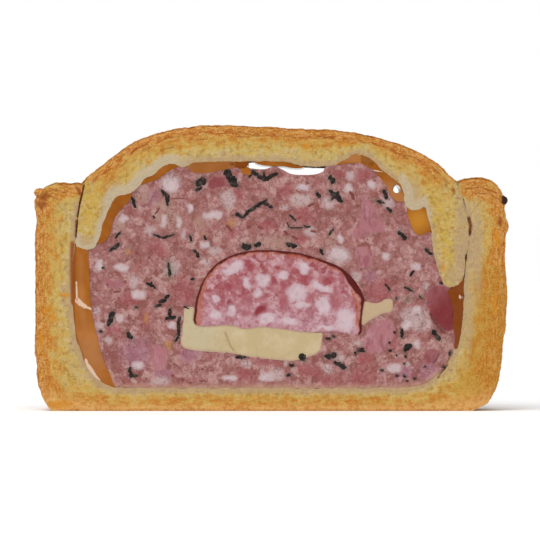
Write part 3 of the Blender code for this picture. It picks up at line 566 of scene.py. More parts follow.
def patches(points, table, soft=0.35, warp=0.45, seed=40):
    """How far inside any of the table's ellipses a point lies, 0 to 1. Soft is the width of the rim as a
    share of the ellipse, and warp is how many millimetres noise moves the point first."""
    x = points[:, 0] / MM + warp * lumps(points, 1.6 * MM, seed)
    z = points[:, 2] / MM + warp * lumps(points, 1.6 * MM, seed + 7)
    value = np.zeros(len(points))
    for cx, cz, width, height, *tilt in table:
        angle = math.radians(tilt[0] if tilt else 0)
        c, s = math.cos(angle), math.sin(angle)
        u = ((x - cx) * c + (z - cz) * s) / (width / 2)
        v = ((z - cz) * c - (x - cx) * s) / (height / 2)
        value = np.maximum(value, fade((1 + soft - np.sqrt(u * u + v * v)) / (2 * soft)))
    return value


def patch_fields(points, tables):
    """A field for each of the named tables of patches."""
    return {name: patches(points, table, soft, warp) for name, (soft, warp, table) in tables.items()}


def lines_near(points, table, halo=0.0):
    """How near a point is to any of the table's lines: 1 on it, 0 past half its width and the halo."""
    value = np.zeros(len(points))
    flat = points[:, [0, 2]]
    for width, path in table:
        line = np.array(path, float) * MM
        low, high = line.min(axis=0) - 3 * MM, line.max(axis=0) + 3 * MM
        close = np.all((flat > low) & (flat < high), axis=1)
        if close.any():
            gap, _ = distance_to(points[close], line)
            reach = (width / 2 + halo) * MM
            value[close] = np.maximum(value[close], fade(1.4 - gap / reach))
    return value


def turned(points, centre_x):
    """The places that give the back face its own pattern: its points mirrored about an upright line."""
    moved = points.copy()
    back = points[:, 1] > 0
    moved[back, 0] = 2 * centre_x * MM - points[back, 0]
    return moved


def make_piece(name, points, faces, material, nodes=(), fields=None):
    """Put the arrays into a mesh object, with its fields as point attributes."""
    mesh = bpy.data.meshes.new(name)
    mesh.vertices.add(len(points))
    mesh.vertices.foreach_set("co", points.astype(np.float32).reshape(-1))
    mesh.loops.add(len(faces) * 3)
    mesh.loops.foreach_set("vertex_index", faces.astype(np.int32).reshape(-1))
    mesh.polygons.add(len(faces))
    mesh.polygons.foreach_set("loop_start", np.arange(0, len(faces) * 3, 3, dtype=np.int32))
    mesh.update(calc_edges=True)
    mesh.shade_smooth()
    mesh.set_sharp_from_angle(angle=math.radians(55))
    for field, values in (fields or {}).items():
        flat = values.ndim == 1
        layer = mesh.attributes.new(field, "FLOAT" if flat else "FLOAT_VECTOR", "POINT")
        layer.data.foreach_set("value" if flat else "vector", values.astype(np.float32).reshape(-1))
    mesh.materials.append(material)
    obj = bpy.data.objects.new(name, mesh)
    bpy.context.scene.collection.objects.link(obj)
    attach(obj, "root")
    if nodes:
        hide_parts(*nodes)
    return obj


def join(parts):
    """Several point and face arrays as one."""
    offset, points, faces = 0, [], []
    for some, triangles in parts:
        points.append(some)
        faces.append(triangles + offset)
        offset += len(some)
    return np.concatenate(points), np.concatenate(faces)


def cut_relief(points, faces, height, strength=1.0):
    """Move the points of both cut faces in or out by a height in millimetres, and leave the sides alone."""
    flat = np.abs(normals_of(points, faces)[:, 1])
    points[:, 1] += np.sign(points[:, 1]) * height * MM * flat * strength


def keep_inside(points):
    """Hold the skin inside the solid slice's box."""
    return np.clip(points, np.array(CAD_BOX[0]), np.array(CAD_BOX[1]))


# Materials

def add_node(tree, kind, sockets=None, stops=None, out=0, **settings):
    """Add a node with its settings, its sockets' values or feeds, and a ramp's stops; give an output."""
    node = tree.nodes.new(kind)
    for name, value in settings.items():
        setattr(node, name, value)
    for key, value in (sockets or {}).items():
        socket = node.inputs[key]
        if isinstance(value, bpy.types.NodeSocket):
            tree.links.new(value, socket)
        elif socket.type == "RGBA":
            socket.default_value = tones(value)
        else:
            socket.default_value = value
    if stops:
        points = node.color_ramp.elements
        for _ in range(len(stops) - len(points)):
            points.new(0.5)
        for point, (position, colour) in zip(points, stops):
            point.position = position
            point.color = tones(colour)
    return node.outputs[out]


def pattern(tree, spec):
    """A value that varies over the surface: a point attribute's name, or a texture's kind, grain size in
    millimetres, detail and seed, and the stretch of its grain. Crumbs have a value each, veins are the
    crumbs' borders, dots are round, and streaks run along the crust."""
    if isinstance(spec, str):
        return add_node(tree, "ShaderNodeAttribute", attribute_name=spec, out="Fac")
    kind, size, detail, seed, *stretch = spec
    scale = 1 / (size * MM)
    if kind == "streaks":
        place = add_node(tree, "ShaderNodeAttribute", attribute_name="lay", out="Vector")
    else:
        place = add_node(tree, "ShaderNodeTexCoord", out="Object")
    place = add_node(tree, "ShaderNodeMapping", {
        "Vector": place, "Location": (seed, seed * 0.7, seed * 1.3),
        "Scale": stretch[0] if stretch else (1, 1, 1)})
    if kind in ("crumbs", "veins"):
        bend = add_node(tree, "ShaderNodeTexNoise", {"Vector": place, "Scale": scale, "Detail": 3.0},
                        out="Color")
        place = add_node(tree, "ShaderNodeVectorMath", {0: bend, 1: (0.9 * size * MM,) * 3, 2: place},
                         operation="MULTIPLY_ADD")
        feature, out = ("DISTANCE_TO_EDGE", "Distance") if kind == "veins" else ("F1", "Color")
        return add_node(tree, "ShaderNodeTexVoronoi", {"Vector": place, "Scale": scale},
                        feature=feature, out=out)
    if kind == "dots":
        return add_node(tree, "ShaderNodeTexVoronoi", {"Vector": place, "Scale": scale}, out="Distance")
    return add_node(tree, "ShaderNodeTexNoise", {
        "Vector": place, "Scale": scale / 2, "Detail": detail, "Roughness": 0.6}, out="Fac")


def layered(name, base, layers, bumps, roughness, ior, bump_mm, radius=None, shifts=(), **principled):
    """A material whose colour is a ramp over a pattern, with layers of other colours laid over it in turn.
    Shifts are patterns that move the ramp's value, each with a weight. A layer is a pattern, the values
    where it starts and is full, its strength and colour, and further patterns that narrow it. Bumps are
    patterns that add up to height."""
    material = bpy.data.materials.new(name)
    material.use_nodes = True
    tree = material.node_tree
    shader = tree.nodes["Principled BSDF"]
    for socket, value in {"Roughness": roughness, "IOR": ior, **principled}.items():
        shader.inputs[socket.replace("_", " ")].default_value = value
    if radius:
        shader.inputs["Subsurface Radius"].default_value = radius
    value = pattern(tree, base[0])
    for spec, weight in shifts:
        centred = add_node(tree, "ShaderNodeMath", {0: pattern(tree, spec), 1: 0.5}, operation="SUBTRACT")
        value = add_node(tree, "ShaderNodeMath", {0: centred, 1: weight, 2: value}, operation="MULTIPLY_ADD")
    colour = add_node(tree, "ShaderNodeValToRGB", {"Fac": value}, stops=base[1])
    for spec, start, end, mask, over, *narrowing in layers:
        for what, low, high in [(spec, start, end), *narrowing]:
            mask = add_node(tree, "ShaderNodeMapRange", {
                "Value": pattern(tree, what), "From Min": low, "From Max": high,
                "To Min": 0.0, "To Max": mask})
        colour = add_node(tree, "ShaderNodeMix", {0: mask, 6: colour, 7: over}, data_type="RGBA", out=2)
    tree.links.new(colour, shader.inputs["Base Color"])
    height = 0.0
    for spec, weight in bumps:
        height = add_node(tree, "ShaderNodeMath", {0: pattern(tree, spec), 1: weight, 2: height},
                          operation="MULTIPLY_ADD")
    if bumps:
        normal = add_node(tree, "ShaderNodeBump", {
            "Height": height, "Distance": bump_mm * MM, "Strength": 0.8})
        tree.links.new(normal, shader.inputs["Normal"])
    return material


def field(name, strength, colour):
    """A layer that lies where a point attribute says."""
    return (name, 0.0, 1.0, strength, colour)


def baked_shortcrust():
    """Shortcrust baked in a tin: dull browned skin, golden crumb under it, pale steamed crumb inside.
    Grains are the crumb's pores and flour, streaks are the layers that rolling left, and fields are
    browned, pale and wet zones."""
    tints = bpy.context.scene.pate_colours
    along = (0.28, 1.0, 1.0)
    stops = [(0.00, tints.crust_skin), (0.20, tints.crust_brown), (0.42, tints.crust_gold),
             (0.62, tints.crust_crumb), (0.84, tints.crust_pale), (1.00, tints.crust_heart)]
    crumb = [
        (("grain", 0.9, 3, 14.0), 0.50, 0.62, 0.45, "bda548", ("bake", 0.35, 0.6)),
        (("grain", 0.20, 3, 1.0), 0.50, 0.60, 0.65, "dfb165", ("bake", 0.85, 0.10)),
        (("grain", 0.19, 3, 2.0), 0.49, 0.39, 0.55, "985500", ("bake", 0.62, 0.10)),
        (("streaks", 0.22, 3, 3.0, along), 0.54, 0.61, 0.65, "9e4600", ("bake", 0.36, 0.12)),
        (("streaks", 0.30, 3, 21.0, along), 0.42, 0.52, 0.62, "983f00", ("band", 0.2, 0.8)),
        (("streaks", 0.25, 3, 6.0, along), 0.53, 0.63, 0.55, "d7ab63", ("bake", 0.55, 0.25)),
        (("grain", 0.55, 3, 4.0), 0.48, 0.37, 0.56, "967130", ("bake", 0.30, 0.6)),
        (("grain", 0.55, 3, 8.0), 0.52, 0.63, 0.54, "cdb98a", ("bake", 0.40, 0.8)),
        (("grain", 0.18, 2, 19.0), 0.42, 0.32, 0.22, "8e6b33", ("bake", 0.30, 0.6))]
    zones = [
        field("toast", 0.72, "ddab67"),
        (("grain", 0.5, 2, 31.0), 0.50, 0.40, 0.45, "b1630a", ("toast", 0.0, 0.5)),
        field("tanned", 0.36, "ab7600"), field("pale", 0.66, "b39673"), field("cream", 0.75, "beae92"),
        field("orange", 0.75, "c98418"), field("burnt", 0.80, "863a00"), field("crack", 0.92, "712800"),
        field("char", 0.95, "140a06"), field("stain", 0.90, "8e4400")]
    return layered(
        "baked_shortcrust", ("bake", stops),
        [field("gold", 0.85, "c39e44"), field("soaked", 0.70, "a37c58"), *crumb, *zones],
        [(("grain", 0.20, 3, 1.0), 0.9), (("streaks", 0.22, 3, 3.0, along), 0.6),
         (("grain", 0.6, 2, 9.0), 1.2)],
        0.62, 1.45, 0.35, Specular_IOR_Level=0.25,
        shifts=[(("streaks", 0.6, 4, 0.0, along), 1.0), (("grain", 1.0, 4, 5.0), 1.2),
                (("grain", 3.0, 2, 44.0), 0.7)])


# The forcemeat's layers, which its fat and ham share at their rims: grain, zones, seams and specks, and
# fine tooth.
MEAT_SHIFTS = [(("grain", 1.3, 2, 0.0), 1.2), (("crumbs", 0.8, 0, 8.0), 0.55)]
MEAT_GRAIN = [
    (("grain", 0.75, 2, 2.0), 0.54, 0.64, 0.45, "b8928d"),
    (("grain", 0.6, 2, 3.0), 0.46, 0.36, 0.60, "854d49")]
MEAT_ZONES = [
    field("red", 0.70, "974449"), field("mauve", 0.65, "9a6579"), field("beige", 0.70, "a88376"),
    field("pale", 0.85, "b8a09f"), field("green", 0.45, "7a7060"), field("ochre", 0.75, "b07a48"),
    field("smear", 0.60, "6d625a"),
    (("grain", 0.20, 2, 12.0), 0.51, 0.57, 0.75, "3a302c", ("smear", 0.05, 0.7))]
MEAT_SPECKS = [
    (("veins", 1.9, 0, 3.0), 0.06, 0.02, 0.70, "74403a", (("grain", 1.3, 2, 15.0), 0.52, 0.58)),
    (("veins", 0.8, 0, 8.0), 0.10, 0.03, 0.55, "7b453e", (("grain", 0.9, 2, 17.0), 0.52, 0.60)),
    (("dots", 0.9, 0, 21.0), 0.20, 0.08, 0.65, "6e3a34", (("grain", 1.6, 2, 23.0), 0.50, 0.58)),
    (("dots", 1.0, 0, 25.0), 0.20, 0.08, 0.40, "cbb2ac", (("grain", 1.5, 2, 27.0), 0.50, 0.58)),
    (("dots", 1.5, 0, 1.0), 0.16, 0.06, 0.80, "5a2c22"), (("dots", 2.3, 0, 4.0), 0.14, 0.06, 0.80, "8c2f2b")]
MEAT_DARK_TOOTH = (("grain", 0.25, 1, 6.0), 0.44, 0.34, 0.22, "7f4f49")
MEAT_PALE_TOOTH = (("grain", 0.30, 1, 9.0), 0.57, 0.67, 0.16, "c0a19b")
MEAT_SWELLS = (("grain", 0.75, 3, 2.0), 1.0)
MEAT_TOOTH = (("grain", 0.20, 1, 6.0), 0.2)
MEAT_SCATTER = (1.0, 0.4, 0.3)
SCATTER_DEPTH = 1.5 * MM


def meat_base():
    """Crumbs of lean, rose and fatty meat."""
    tints = bpy.context.scene.pate_colours
    stops = [(0.05, tints.meat_dark), (0.35, tints.meat_lean), (0.60, tints.meat_rose),
             (0.95, tints.meat_fatty)]
    return ("crumbs", 1.9, 0, 3.0), stops


def pork_forcemeat():
    """Coarse minced pork, poached and pressed: moist rose lean, smeared fat, specks of spice and herb."""
    layers = [*MEAT_GRAIN, *MEAT_ZONES, *MEAT_SPECKS, MEAT_DARK_TOOTH, MEAT_PALE_TOOTH,
              field("greased", 0.65, "b78e76")]
    return layered("pork_forcemeat", meat_base(), layers, [MEAT_SWELLS, MEAT_TOOTH], 0.42, 1.40, 0.2,
                   MEAT_SCATTER, MEAT_SHIFTS, Subsurface_Weight=0.08, Subsurface_Scale=SCATTER_DEPTH)


def back_fat():
    """Poached back fat: waxy, bluish white in the middle, stained rose by the meat at its edge."""
    fat = [field("fat", 0.92, bpy.context.scene.pate_colours.back_fat),
           (("grain", 0.8, 3, 7.0), 0.50, 0.68, 0.55, "c9b9c2", ("fat", 0.3, 1.0)),
           (("grain", 0.6, 3, 8.0), 0.48, 0.30, 0.35, "a98a8a", ("fat", 0.3, 1.0))]
    return layered("back_fat", meat_base(), [*MEAT_GRAIN, *MEAT_ZONES, *fat, MEAT_DARK_TOOTH], [MEAT_SWELLS],
                   0.36, 1.46, 0.1, (1.0, 0.6, 0.5), MEAT_SHIFTS, Subsurface_Weight=0.2,
                   Subsurface_Scale=SCATTER_DEPTH)


def cured_ham():
    """Cured ham in the forcemeat: close fibres with a silky cut, rose mauve to crimson."""
    tints = bpy.context.scene.pate_colours
    grained = (1.0, 1.0, 0.45)
    ham = [field("ham", 0.92, tints.ham),
           (("grain", 0.9, 4, 9.0, grained), 0.50, 0.64, 0.45, "b58a93", ("ham", 0.0, 1.0)),
           field("crimson", 1.0, tints.ham_crimson),
           (("grain", 0.7, 2, 11.0, grained), 0.49, 0.38, 0.40, "6f1822", ("ham", 0.0, 1.0)),
           field("seam", 0.85, "4d1d1c")]
    return layered("cured_ham", meat_base(), [*MEAT_GRAIN, *ham, MEAT_DARK_TOOTH], [MEAT_TOOTH],
                   0.38, 1.42, 0.12, MEAT_SCATTER, MEAT_SHIFTS, Subsurface_Weight=0.08,
                   Subsurface_Scale=SCATTER_DEPTH)


def smoked_sausage():
    """Coarse smoked sausage: soft lumps of fat in pink lean, tanned orange under a brown casing."""
    tints = bpy.context.scene.pate_colours
    stops = [(0.05, "94484d"), (0.40, tints.sausage_lean), (0.65, "b07a7e"), (0.95, "bf969a")]
    layers = [
        (("grain", 0.7, 2, 2.0), 0.54, 0.66, 0.55, "c7a7ab"), field("soft", 0.38, "bd98a3"),
        field("lean", 0.70, "963f48"), field("streak", 0.85, "801f2e"),
        field("fat", 0.88, tints.sausage_fat),
        (("grain", 0.45, 2, 5.0), 0.47, 0.36, 0.50, "92484d", ("fat", 1.0, 0.3)),
        (("grain", 0.7, 2, 12.0), 0.48, 0.36, 0.40, "b39094", ("fat", 0.3, 1.0)),
        field("tan", 0.70, tints.sausage_tan),
        (("grain", 0.5, 2, 15.0), 0.50, 0.40, 0.65, "983d14", ("tan", 0.2, 0.8)),
        (("dots", 2.1, 0, 3.0), 0.09, 0.04, 0.7, "5f3226"), field("casing", 0.95, tints.sausage_casing)]
    return layered(
        "smoked_sausage", (("crumbs", 1.7, 0, 6.0), stops), layers,
        [(("grain", 0.6, 3, 2.0), 0.8), (("grain", 0.35, 2, 5.0), 0.5)], 0.36, 1.43, 0.2, MEAT_SCATTER,
        [(("grain", 1.1, 2, 0.0), 1.6)], Specular_IOR_Level=0.25, Subsurface_Weight=0.08,
        Subsurface_Scale=SCATTER_DEPTH)


def pressed_cheese():
    """Pressed semi-hard cheese: close pale paste, faintly waxy, with tiny pits."""
    stops = [(0.30, "bba77a"), (0.5, bpy.context.scene.pate_colours.cheese), (0.70, "c7b791")]
    return layered(
        "pressed_cheese", (("grain", 2.6, 3, 0.0), stops),
        [field("left", 0.55, "bdb193"), (("grain", 0.5, 3, 2.0), 0.46, 0.32, 0.25, "a89062"),
         field("edge", 0.75, "b3907a"), field("crack", 0.75, "97733c"),
         (("dots", 2.6, 0, 2.0), 0.08, 0.04, 0.45, "8a6a45")],
        [(("grain", 0.5, 3, 2.0), 1.0)], 0.42, 1.45, 0.12, (1.0, 0.8, 0.4),
        Subsurface_Weight=0.1, Subsurface_Scale=SCATTER_DEPTH)


def set_aspic():
    """Meat jelly set in the hollows: wet gloss, amber where thin, brown where deep, with painted shade along
    its grooves and painted highlights along its ridges."""
    tints = bpy.context.scene.pate_colours
    return layered(
        "set_aspic", (("grain", 3.0, 2, 0.0), [(0.3, "985604"), (0.7, tints.jelly_amber)]),
        # The deep colour also lies along the grooves as painted shade.
        [field("deep", 1.00, tints.jelly_deep), field("glow", 0.85, "bd8028"),
         field("milky", 0.50, "b37e51"), ("torn", 0.2, 0.7, 0.92, "dbbda5")],
        [], 0.13, 1.36, 0.0, (1.0, 0.5, 0.2), Specular_IOR_Level=0.25, Subsurface_Weight=0.12,
        Subsurface_Scale=2 * MM, Coat_Weight=0.1, Coat_Roughness=0.05)


def black_mushroom():
    """Black trumpet mushroom, cooked: matt near black with a green-brown bloom."""
    grain = ("grain", 0.5, 3, 0.0)
    stops = [(0.34, "1e1816"), (0.55, bpy.context.scene.pate_colours.mushroom), (0.70, "554a41")]
    return layered("black_mushroom", (grain, stops), [], [(grain, 1.0)], 0.6, 1.40, 0.1,
                   Specular_IOR_Level=0.15)


def dark_lean():
    """Slivers of dark cured lean: wine red to red brown by grain."""
    grain = ("grain", 0.5, 3, 1.0)
    stops = [(0.3, "6b2a26"), (0.7, "8a433c")]
    return layered("dark_lean", (grain, stops), [], [(grain, 1.0)], 0.42, 1.42, 0.1)


def white_board():
    """A matt white board, with a faint tooth."""
    return layered("matt_white_board", (("grain", 4.0, 2, 0.0), [(0.3, "fefefe"), (0.7, "ffffff")]),
                   [], [], 0.9, 1.45, 0.0)


# Pieces

def outer_part(loop, start, end, upwards):
    """The stretch of a loop between two places that goes highest, or lowest."""
    first, last = nearest(loop, start), nearest(loop, end)
    ahead = loop[(first + np.arange((last - first) % len(loop) + 1)) % len(loop)]
    back = loop[(first - np.arange((first - last) % len(loop) + 1)) % len(loop)]
    sign = 1 if upwards else -1
    return (ahead, back) if (sign * ahead[:, 1]).max() > (sign * back[:, 1]).max() else (back, ahead)


def thinned(line, every=4):
    """The line with fewer points, its ends kept."""
    return np.vstack([line[::every], line[-1:]])


def crust_relief(points, faces, to_skin, to_heart, cracks, streaks):
    """How far noise moves each point of a crust: crags outwards on the skin and ripples at the heart, each
    fading with the distance from it, and crumb, cracks and a rounded rim in and out of the cut faces."""
    normals = normals_of(points, faces)
    outwards = normals * np.array([1.0, 0.0, 1.0])
    outwards /= np.maximum(np.linalg.norm(outwards, axis=1)[:, None], 0.3)
    at_skin = fade(1 - to_skin / (1.0 * MM)) * fade(points[:, 2] / (1.5 * MM))
    at_heart = fade(1 - to_heart / (1.0 * MM)) * fade(to_skin / (2.5 * MM))
    crags = 0.24 * lumps(points, 3.6 * MM, 11) + 0.30 * lumps(points, 1.1 * MM, 15) - 0.10
    ripples = 0.28 * lumps(points * np.array([1.0, 0.3, 1.0]), 1.6 * MM, 17) - 0.02
    crumb = 0.09 * lumps(points, 0.9 * MM, 21) + 0.10 * lumps(points, 2.4 * MM, 27)
    crumb = crumb - 0.35 * cracks - 0.08 * streaks
    flat = np.abs(normals[:, 1])
    rounding = -0.35 * fade(1 - to_skin / (0.9 * MM)) * flat
    sideways = outwards * (at_skin * crags + at_heart * ripples)[:, None]
    through = normals * np.array([0.0, 1.0, 0.0]) * (crumb * flat + rounding)[:, None]
    return (sideways + through) * MM


def bake_share(share, bottom, right, ears, flap):
    """How far the crust is from its browned skin, 0 to 1: the share of the way to the heart, held down
    where the tin browned the bottom and the right wall and the oven the ears, and capped in the flaps."""
    bake = share * (1 - 0.42 * right * (1 - share ** 3))
    on_bottom = 0.34 + 0.12 * bake + 0.5 * fade((bake - 0.6) / 0.4)
    bake = bake * (1 - bottom) + on_bottom * bottom
    bake = bake * (1 - flap) + np.minimum(bake, 0.9) * flap
    return bake * (1 - ears) + (0.185 + 0.05 * bake) * ears


def crust_fields(points, share, depth, margin, upwards):
    """The crust's zones: each is a fade over a height, a side, the depth under the skin or the distance
    from the heart, or a table of patches. Share is the share of the way from skin to heart; depth and
    margin are in millimetres."""
    x, z = points[:, 0] / MM, points[:, 2] / MM
    case, lid = float(not upwards), float(upwards)
    bottom = fade((BOTTOM_TOP - z) / 5) * case
    right = fade((x - RIGHT_WALL) / 6) * (1 - bottom) * case * fade((RIGHT_TAN_TOP - z) / 9)
    ears = fade((z - EARS_FROM) / 3.5) * fade((np.abs(x) - EARS_BESIDE) / 1.5) * case
    flap = fade((FLAP_TOP - z) / 4) * lid
    under_skin = depth - BAND_DEPTH - 0.3 * lumps(points, 3.0 * MM, 19)
    fields = {"bake": bake_share(share, bottom, right, ears, flap),
              "stain": lines_near(points, JELLY_STAINS), "toast": bottom * fade(1.35 - share / 0.30),
              "tanned": right * fade((0.92 - share) / 0.3), "soaked": bottom * fade((share - 0.62) / 0.38),
              "band": np.exp(-(under_skin / BAND_WIDTH) ** 2) * lid,
              **patch_fields(turned(points, 0.0), CRUST_PATCHES)}
    outer_flap = fade((-45.0 - x) / 0.8) * fade((z - 44.2) / 1.5) * lid
    margin = margin + 0.35 * lumps(points, 1.6 * MM, 23) + 4 * outer_flap
    wide = MARGIN - 0.9 * fade((x - 38) / 3) * lid
    fields["pale"] = np.maximum(fields["pale"], fade((wide - margin) / 1.2) * (1 - ears))
    pearly = fade((-19 - x) / 6) + fade((x - 31) / 2) * fade((41 - x) / 2)
    fields["cream"] = fade((wide - 0.1 + 1.2 * fade((z - 51) / 2) - margin) / 1.1) * pearly * lid
    return fields


def crust_piece(context, name, node, stations, upwards):
    """A crust as a slab along the node's outline, with its relief and its zones. Skin and heart are the
    outline's outer and inner stretches, and lay is a place's distance along the skin, depth under it, and
    place through it."""
    sizes = context.scene.pate_sizes
    loop = even_loop(cut_outline(node), 0.2 * MM, 0.25 * MM, 0.17 * MM)
    inset = sizes.crust_inset
    points, faces = slab(loop, stations, sizes.crust_step, 32, 26, 26, -HALF + inset, HALF - inset)
    skin, heart = outer_part(loop, stations[0][0], stations[-1][0], upwards)
    if upwards:
        skin = skin[skin[:, 1] > LID_SKIN_FROM * MM]
    to_skin, along = distance_to(points, thinned(skin))
    to_heart, _ = distance_to(points, thinned(heart))
    share = to_skin / np.maximum(to_skin + to_heart, 1e-9)
    cracks = lines_near(points, CRUST_CRACKS, 0.05)
    streaks = lines_near(points, LID_STREAKS) * (points[:, 1] < 0)
    fields = crust_fields(points, share, to_skin / MM, to_heart / MM, upwards)
    fields["burnt"] = np.maximum(fields["burnt"], 0.8 * streaks)
    fields["crack"] = cracks
    fields["lay"] = np.column_stack([along, to_skin, points[:, 1]])
    moved = points + crust_relief(points, faces, to_skin, to_heart, cracks, streaks) * sizes.relief
    material = bpy.data.materials.get("baked_shortcrust") or baked_shortcrust()
    make_piece(name, keep_inside(moved), faces, material, [node], fields)


def meat_height(points):
    """Relief of the cut forcemeat in millimetres: soft swells, crumbs, and small torn pits."""
    swell = 0.13 * lumps(points, 2.2 * MM, 51) + 0.07 * lumps(points, 0.8 * MM, 57)
    return swell - 0.22 * fade((lumps(points, 1.5 * MM, 63) - 0.45) / 0.2)


def meat_fields(points):
    """The forcemeat's patches, and the dark bloom round the mushroom."""
    seen = turned(points, 0.0)
    bloom = 0.8 * lines_near(seen, MUSHROOM, 0.35) * fade(0.6 + lumps(points, 0.8 * MM, 77))
    return {**patch_fields(seen, MEAT_PATCHES), "smear": bloom}


def pebble(centre_mm, radii_mm, seed, roughness, rings=20):
    """A ball on a grid of two angles, stretched to three radii, its radius varied by noise."""
    down, around = np.meshgrid(
        np.linspace(0, math.pi, rings + 1), np.linspace(0, 2 * math.pi, 2 * rings + 1), indexing="ij")
    ball = np.stack([np.sin(down) * np.cos(around), np.sin(down) * np.sin(around), np.cos(down)], axis=-1)
    ball[[0, -1], :, :2] = 0
    ball[:, -1] = ball[:, 0]
    rough = lumps(ball.reshape(-1, 3) + seed, 0.7, seed).reshape(ball.shape[:2])
    out = ball * (1 + roughness * rough[..., None])
    return weld([((out * np.array(radii_mm) + np.array(centre_mm)) * MM, ball)])


class PateSizes(bpy.types.PropertyGroup):
    """Sizes of the grids, the relief, the lights and the view"""
    step: FloatProperty(name="Grid step", description="Width of a cell in the meat's cut faces",
                        default=0.40 * MM, unit="LENGTH", precision=5)
    crust_step: FloatProperty(name="Crust step", description="Width of a cell along the crust",
                              default=0.42 * MM, unit="LENGTH", precision=5)
    crust_inset: FloatProperty(name="Crust inset", description="Depth of the crust's cut below the solid's",
                               default=0.14 * MM, unit="LENGTH", precision=5)
    meat_inset: FloatProperty(name="Meat inset", description="Depth of the forcemeat below the solid's cut",
                              default=0.26 * MM, unit="LENGTH", precision=5)
    relief: FloatProperty(name="Relief", description="Strength of the surface relief",
                          default=1.0, min=0.0, max=2.0)
    camera_distance: FloatProperty(name="Camera distance", description="From the cut face to the camera",
                                   default=0.9, unit="LENGTH")
    frame_width: FloatProperty(name="Framed width", description="Width of the view at the cut face",
                               default=0.135, unit="LENGTH", precision=4)
    floor_reach: FloatProperty(name="Floor reach", description="From the middle of the floor to its sides",
                               default=8.0, unit="LENGTH")
    room_light: FloatProperty(name="Room light", description="Strength of the white room's light",
                              default=0.47)
    overhead_light: FloatProperty(name="Overhead light", description="Strength of the light above",
                                  default=2.05)
    softbox_power: FloatProperty(name="Softbox power", description="Power of the light at the front left",
                                 default=0.8, unit="POWER")


class PateColours(bpy.types.PropertyGroup):
    """Main colours of each food in the slice"""
    crust_skin: tint("Crust skin", "Outermost film of the baked crust", "c98a44")
    crust_brown: tint("Crust brown", "Browned layer under the skin", "b66c0f")
    crust_gold: tint("Crust gold", "Golden layer of the crust", "bf8e3d")
    crust_crumb: tint("Crust crumb", "Yellow crumb in the middle", "c4a458")
    crust_pale: tint("Crust pale crumb", "Pale crumb towards the filling", "c0a66b")
    crust_heart: tint("Crust heart", "Damp crumb at the filling", "b4946b")
    meat_dark: tint("Meat, dark", "Darkest crumbs of the forcemeat", "864943")
    meat_lean: tint("Meat, lean", "Lean crumbs of the forcemeat", "955c56")
    meat_rose: tint("Meat, rose", "Rose crumbs of the forcemeat", "a06967")
    meat_fatty: tint("Meat, fatty", "Fatty crumbs of the forcemeat", "b48b86")
    back_fat: tint("Back fat", "Dice of back fat", "c3aeaf")
    ham: tint("Ham", "Mauve chunks of ham", "a76b71")
    ham_crimson: tint("Ham, crimson", "The deep red chunk of ham", "781f22")
    sausage_lean: tint("Sausage, lean", "Lean of the smoked sausage", "a56368")
    sausage_fat: tint("Sausage, fat", "Lumps of fat in the sausage", "c9b5bb")
    sausage_tan: tint("Sausage, smoked rim", "Tanned rim of the sausage", "aa582e")
    sausage_casing: tint("Sausage casing", "Casing of the sausage", "4d0000")
    cheese: tint("Cheese", "Cheese slab", "bda880")
    jelly_amber: tint("Jelly, thin", "Aspic where it is thin", "af6922")
    jelly_deep: tint("Jelly, deep", "Aspic where it is deep", "7b3b00")
    mushroom: tint("Mushroom", "Black mushroom", "302825")


class BuildCase(bpy.types.Operator):
    """Build the pastry case"""
    bl_idname = "pate.case"
    bl_label = "Pastry case"

    def execute(self, context):
        crust_piece(context, "pastry_case", "crust_case", CASE_STATIONS, False)
        return {"FINISHED"}


class BuildLid(bpy.types.Operator):
    """Build the pastry lid"""
    bl_idname = "pate.lid"
    bl_label = "Pastry lid"

    def execute(self, context):
        crust_piece(context, "pastry_lid", "crust_lid", LID_STATIONS, True)
        return {"FINISHED"}


class BuildFlakes(bpy.types.Operator):
    """Build the loose flakes and the burnt speck on the walls' rims"""
    bl_idname = "pate.flakes"
    bl_label = "Flakes and burnt speck"

    def execute(self, context):
        crust = bpy.data.materials["baked_shortcrust"]
        for name, (centre, radii, burn, bake, seed) in FLAKES.items():
            points, faces = pebble(centre, radii, seed, 0.35)
            same = np.ones(len(points))
            fields = {"bake": bake * same, "lay": points, "burnt": 0.5 * burn * same,
                      "char": burn * fade((points[:, 0] / MM - centre[0] + 0.9) / 0.6)}
            make_piece(name, keep_inside(points), faces, crust, (), fields)
        return {"FINISHED"}


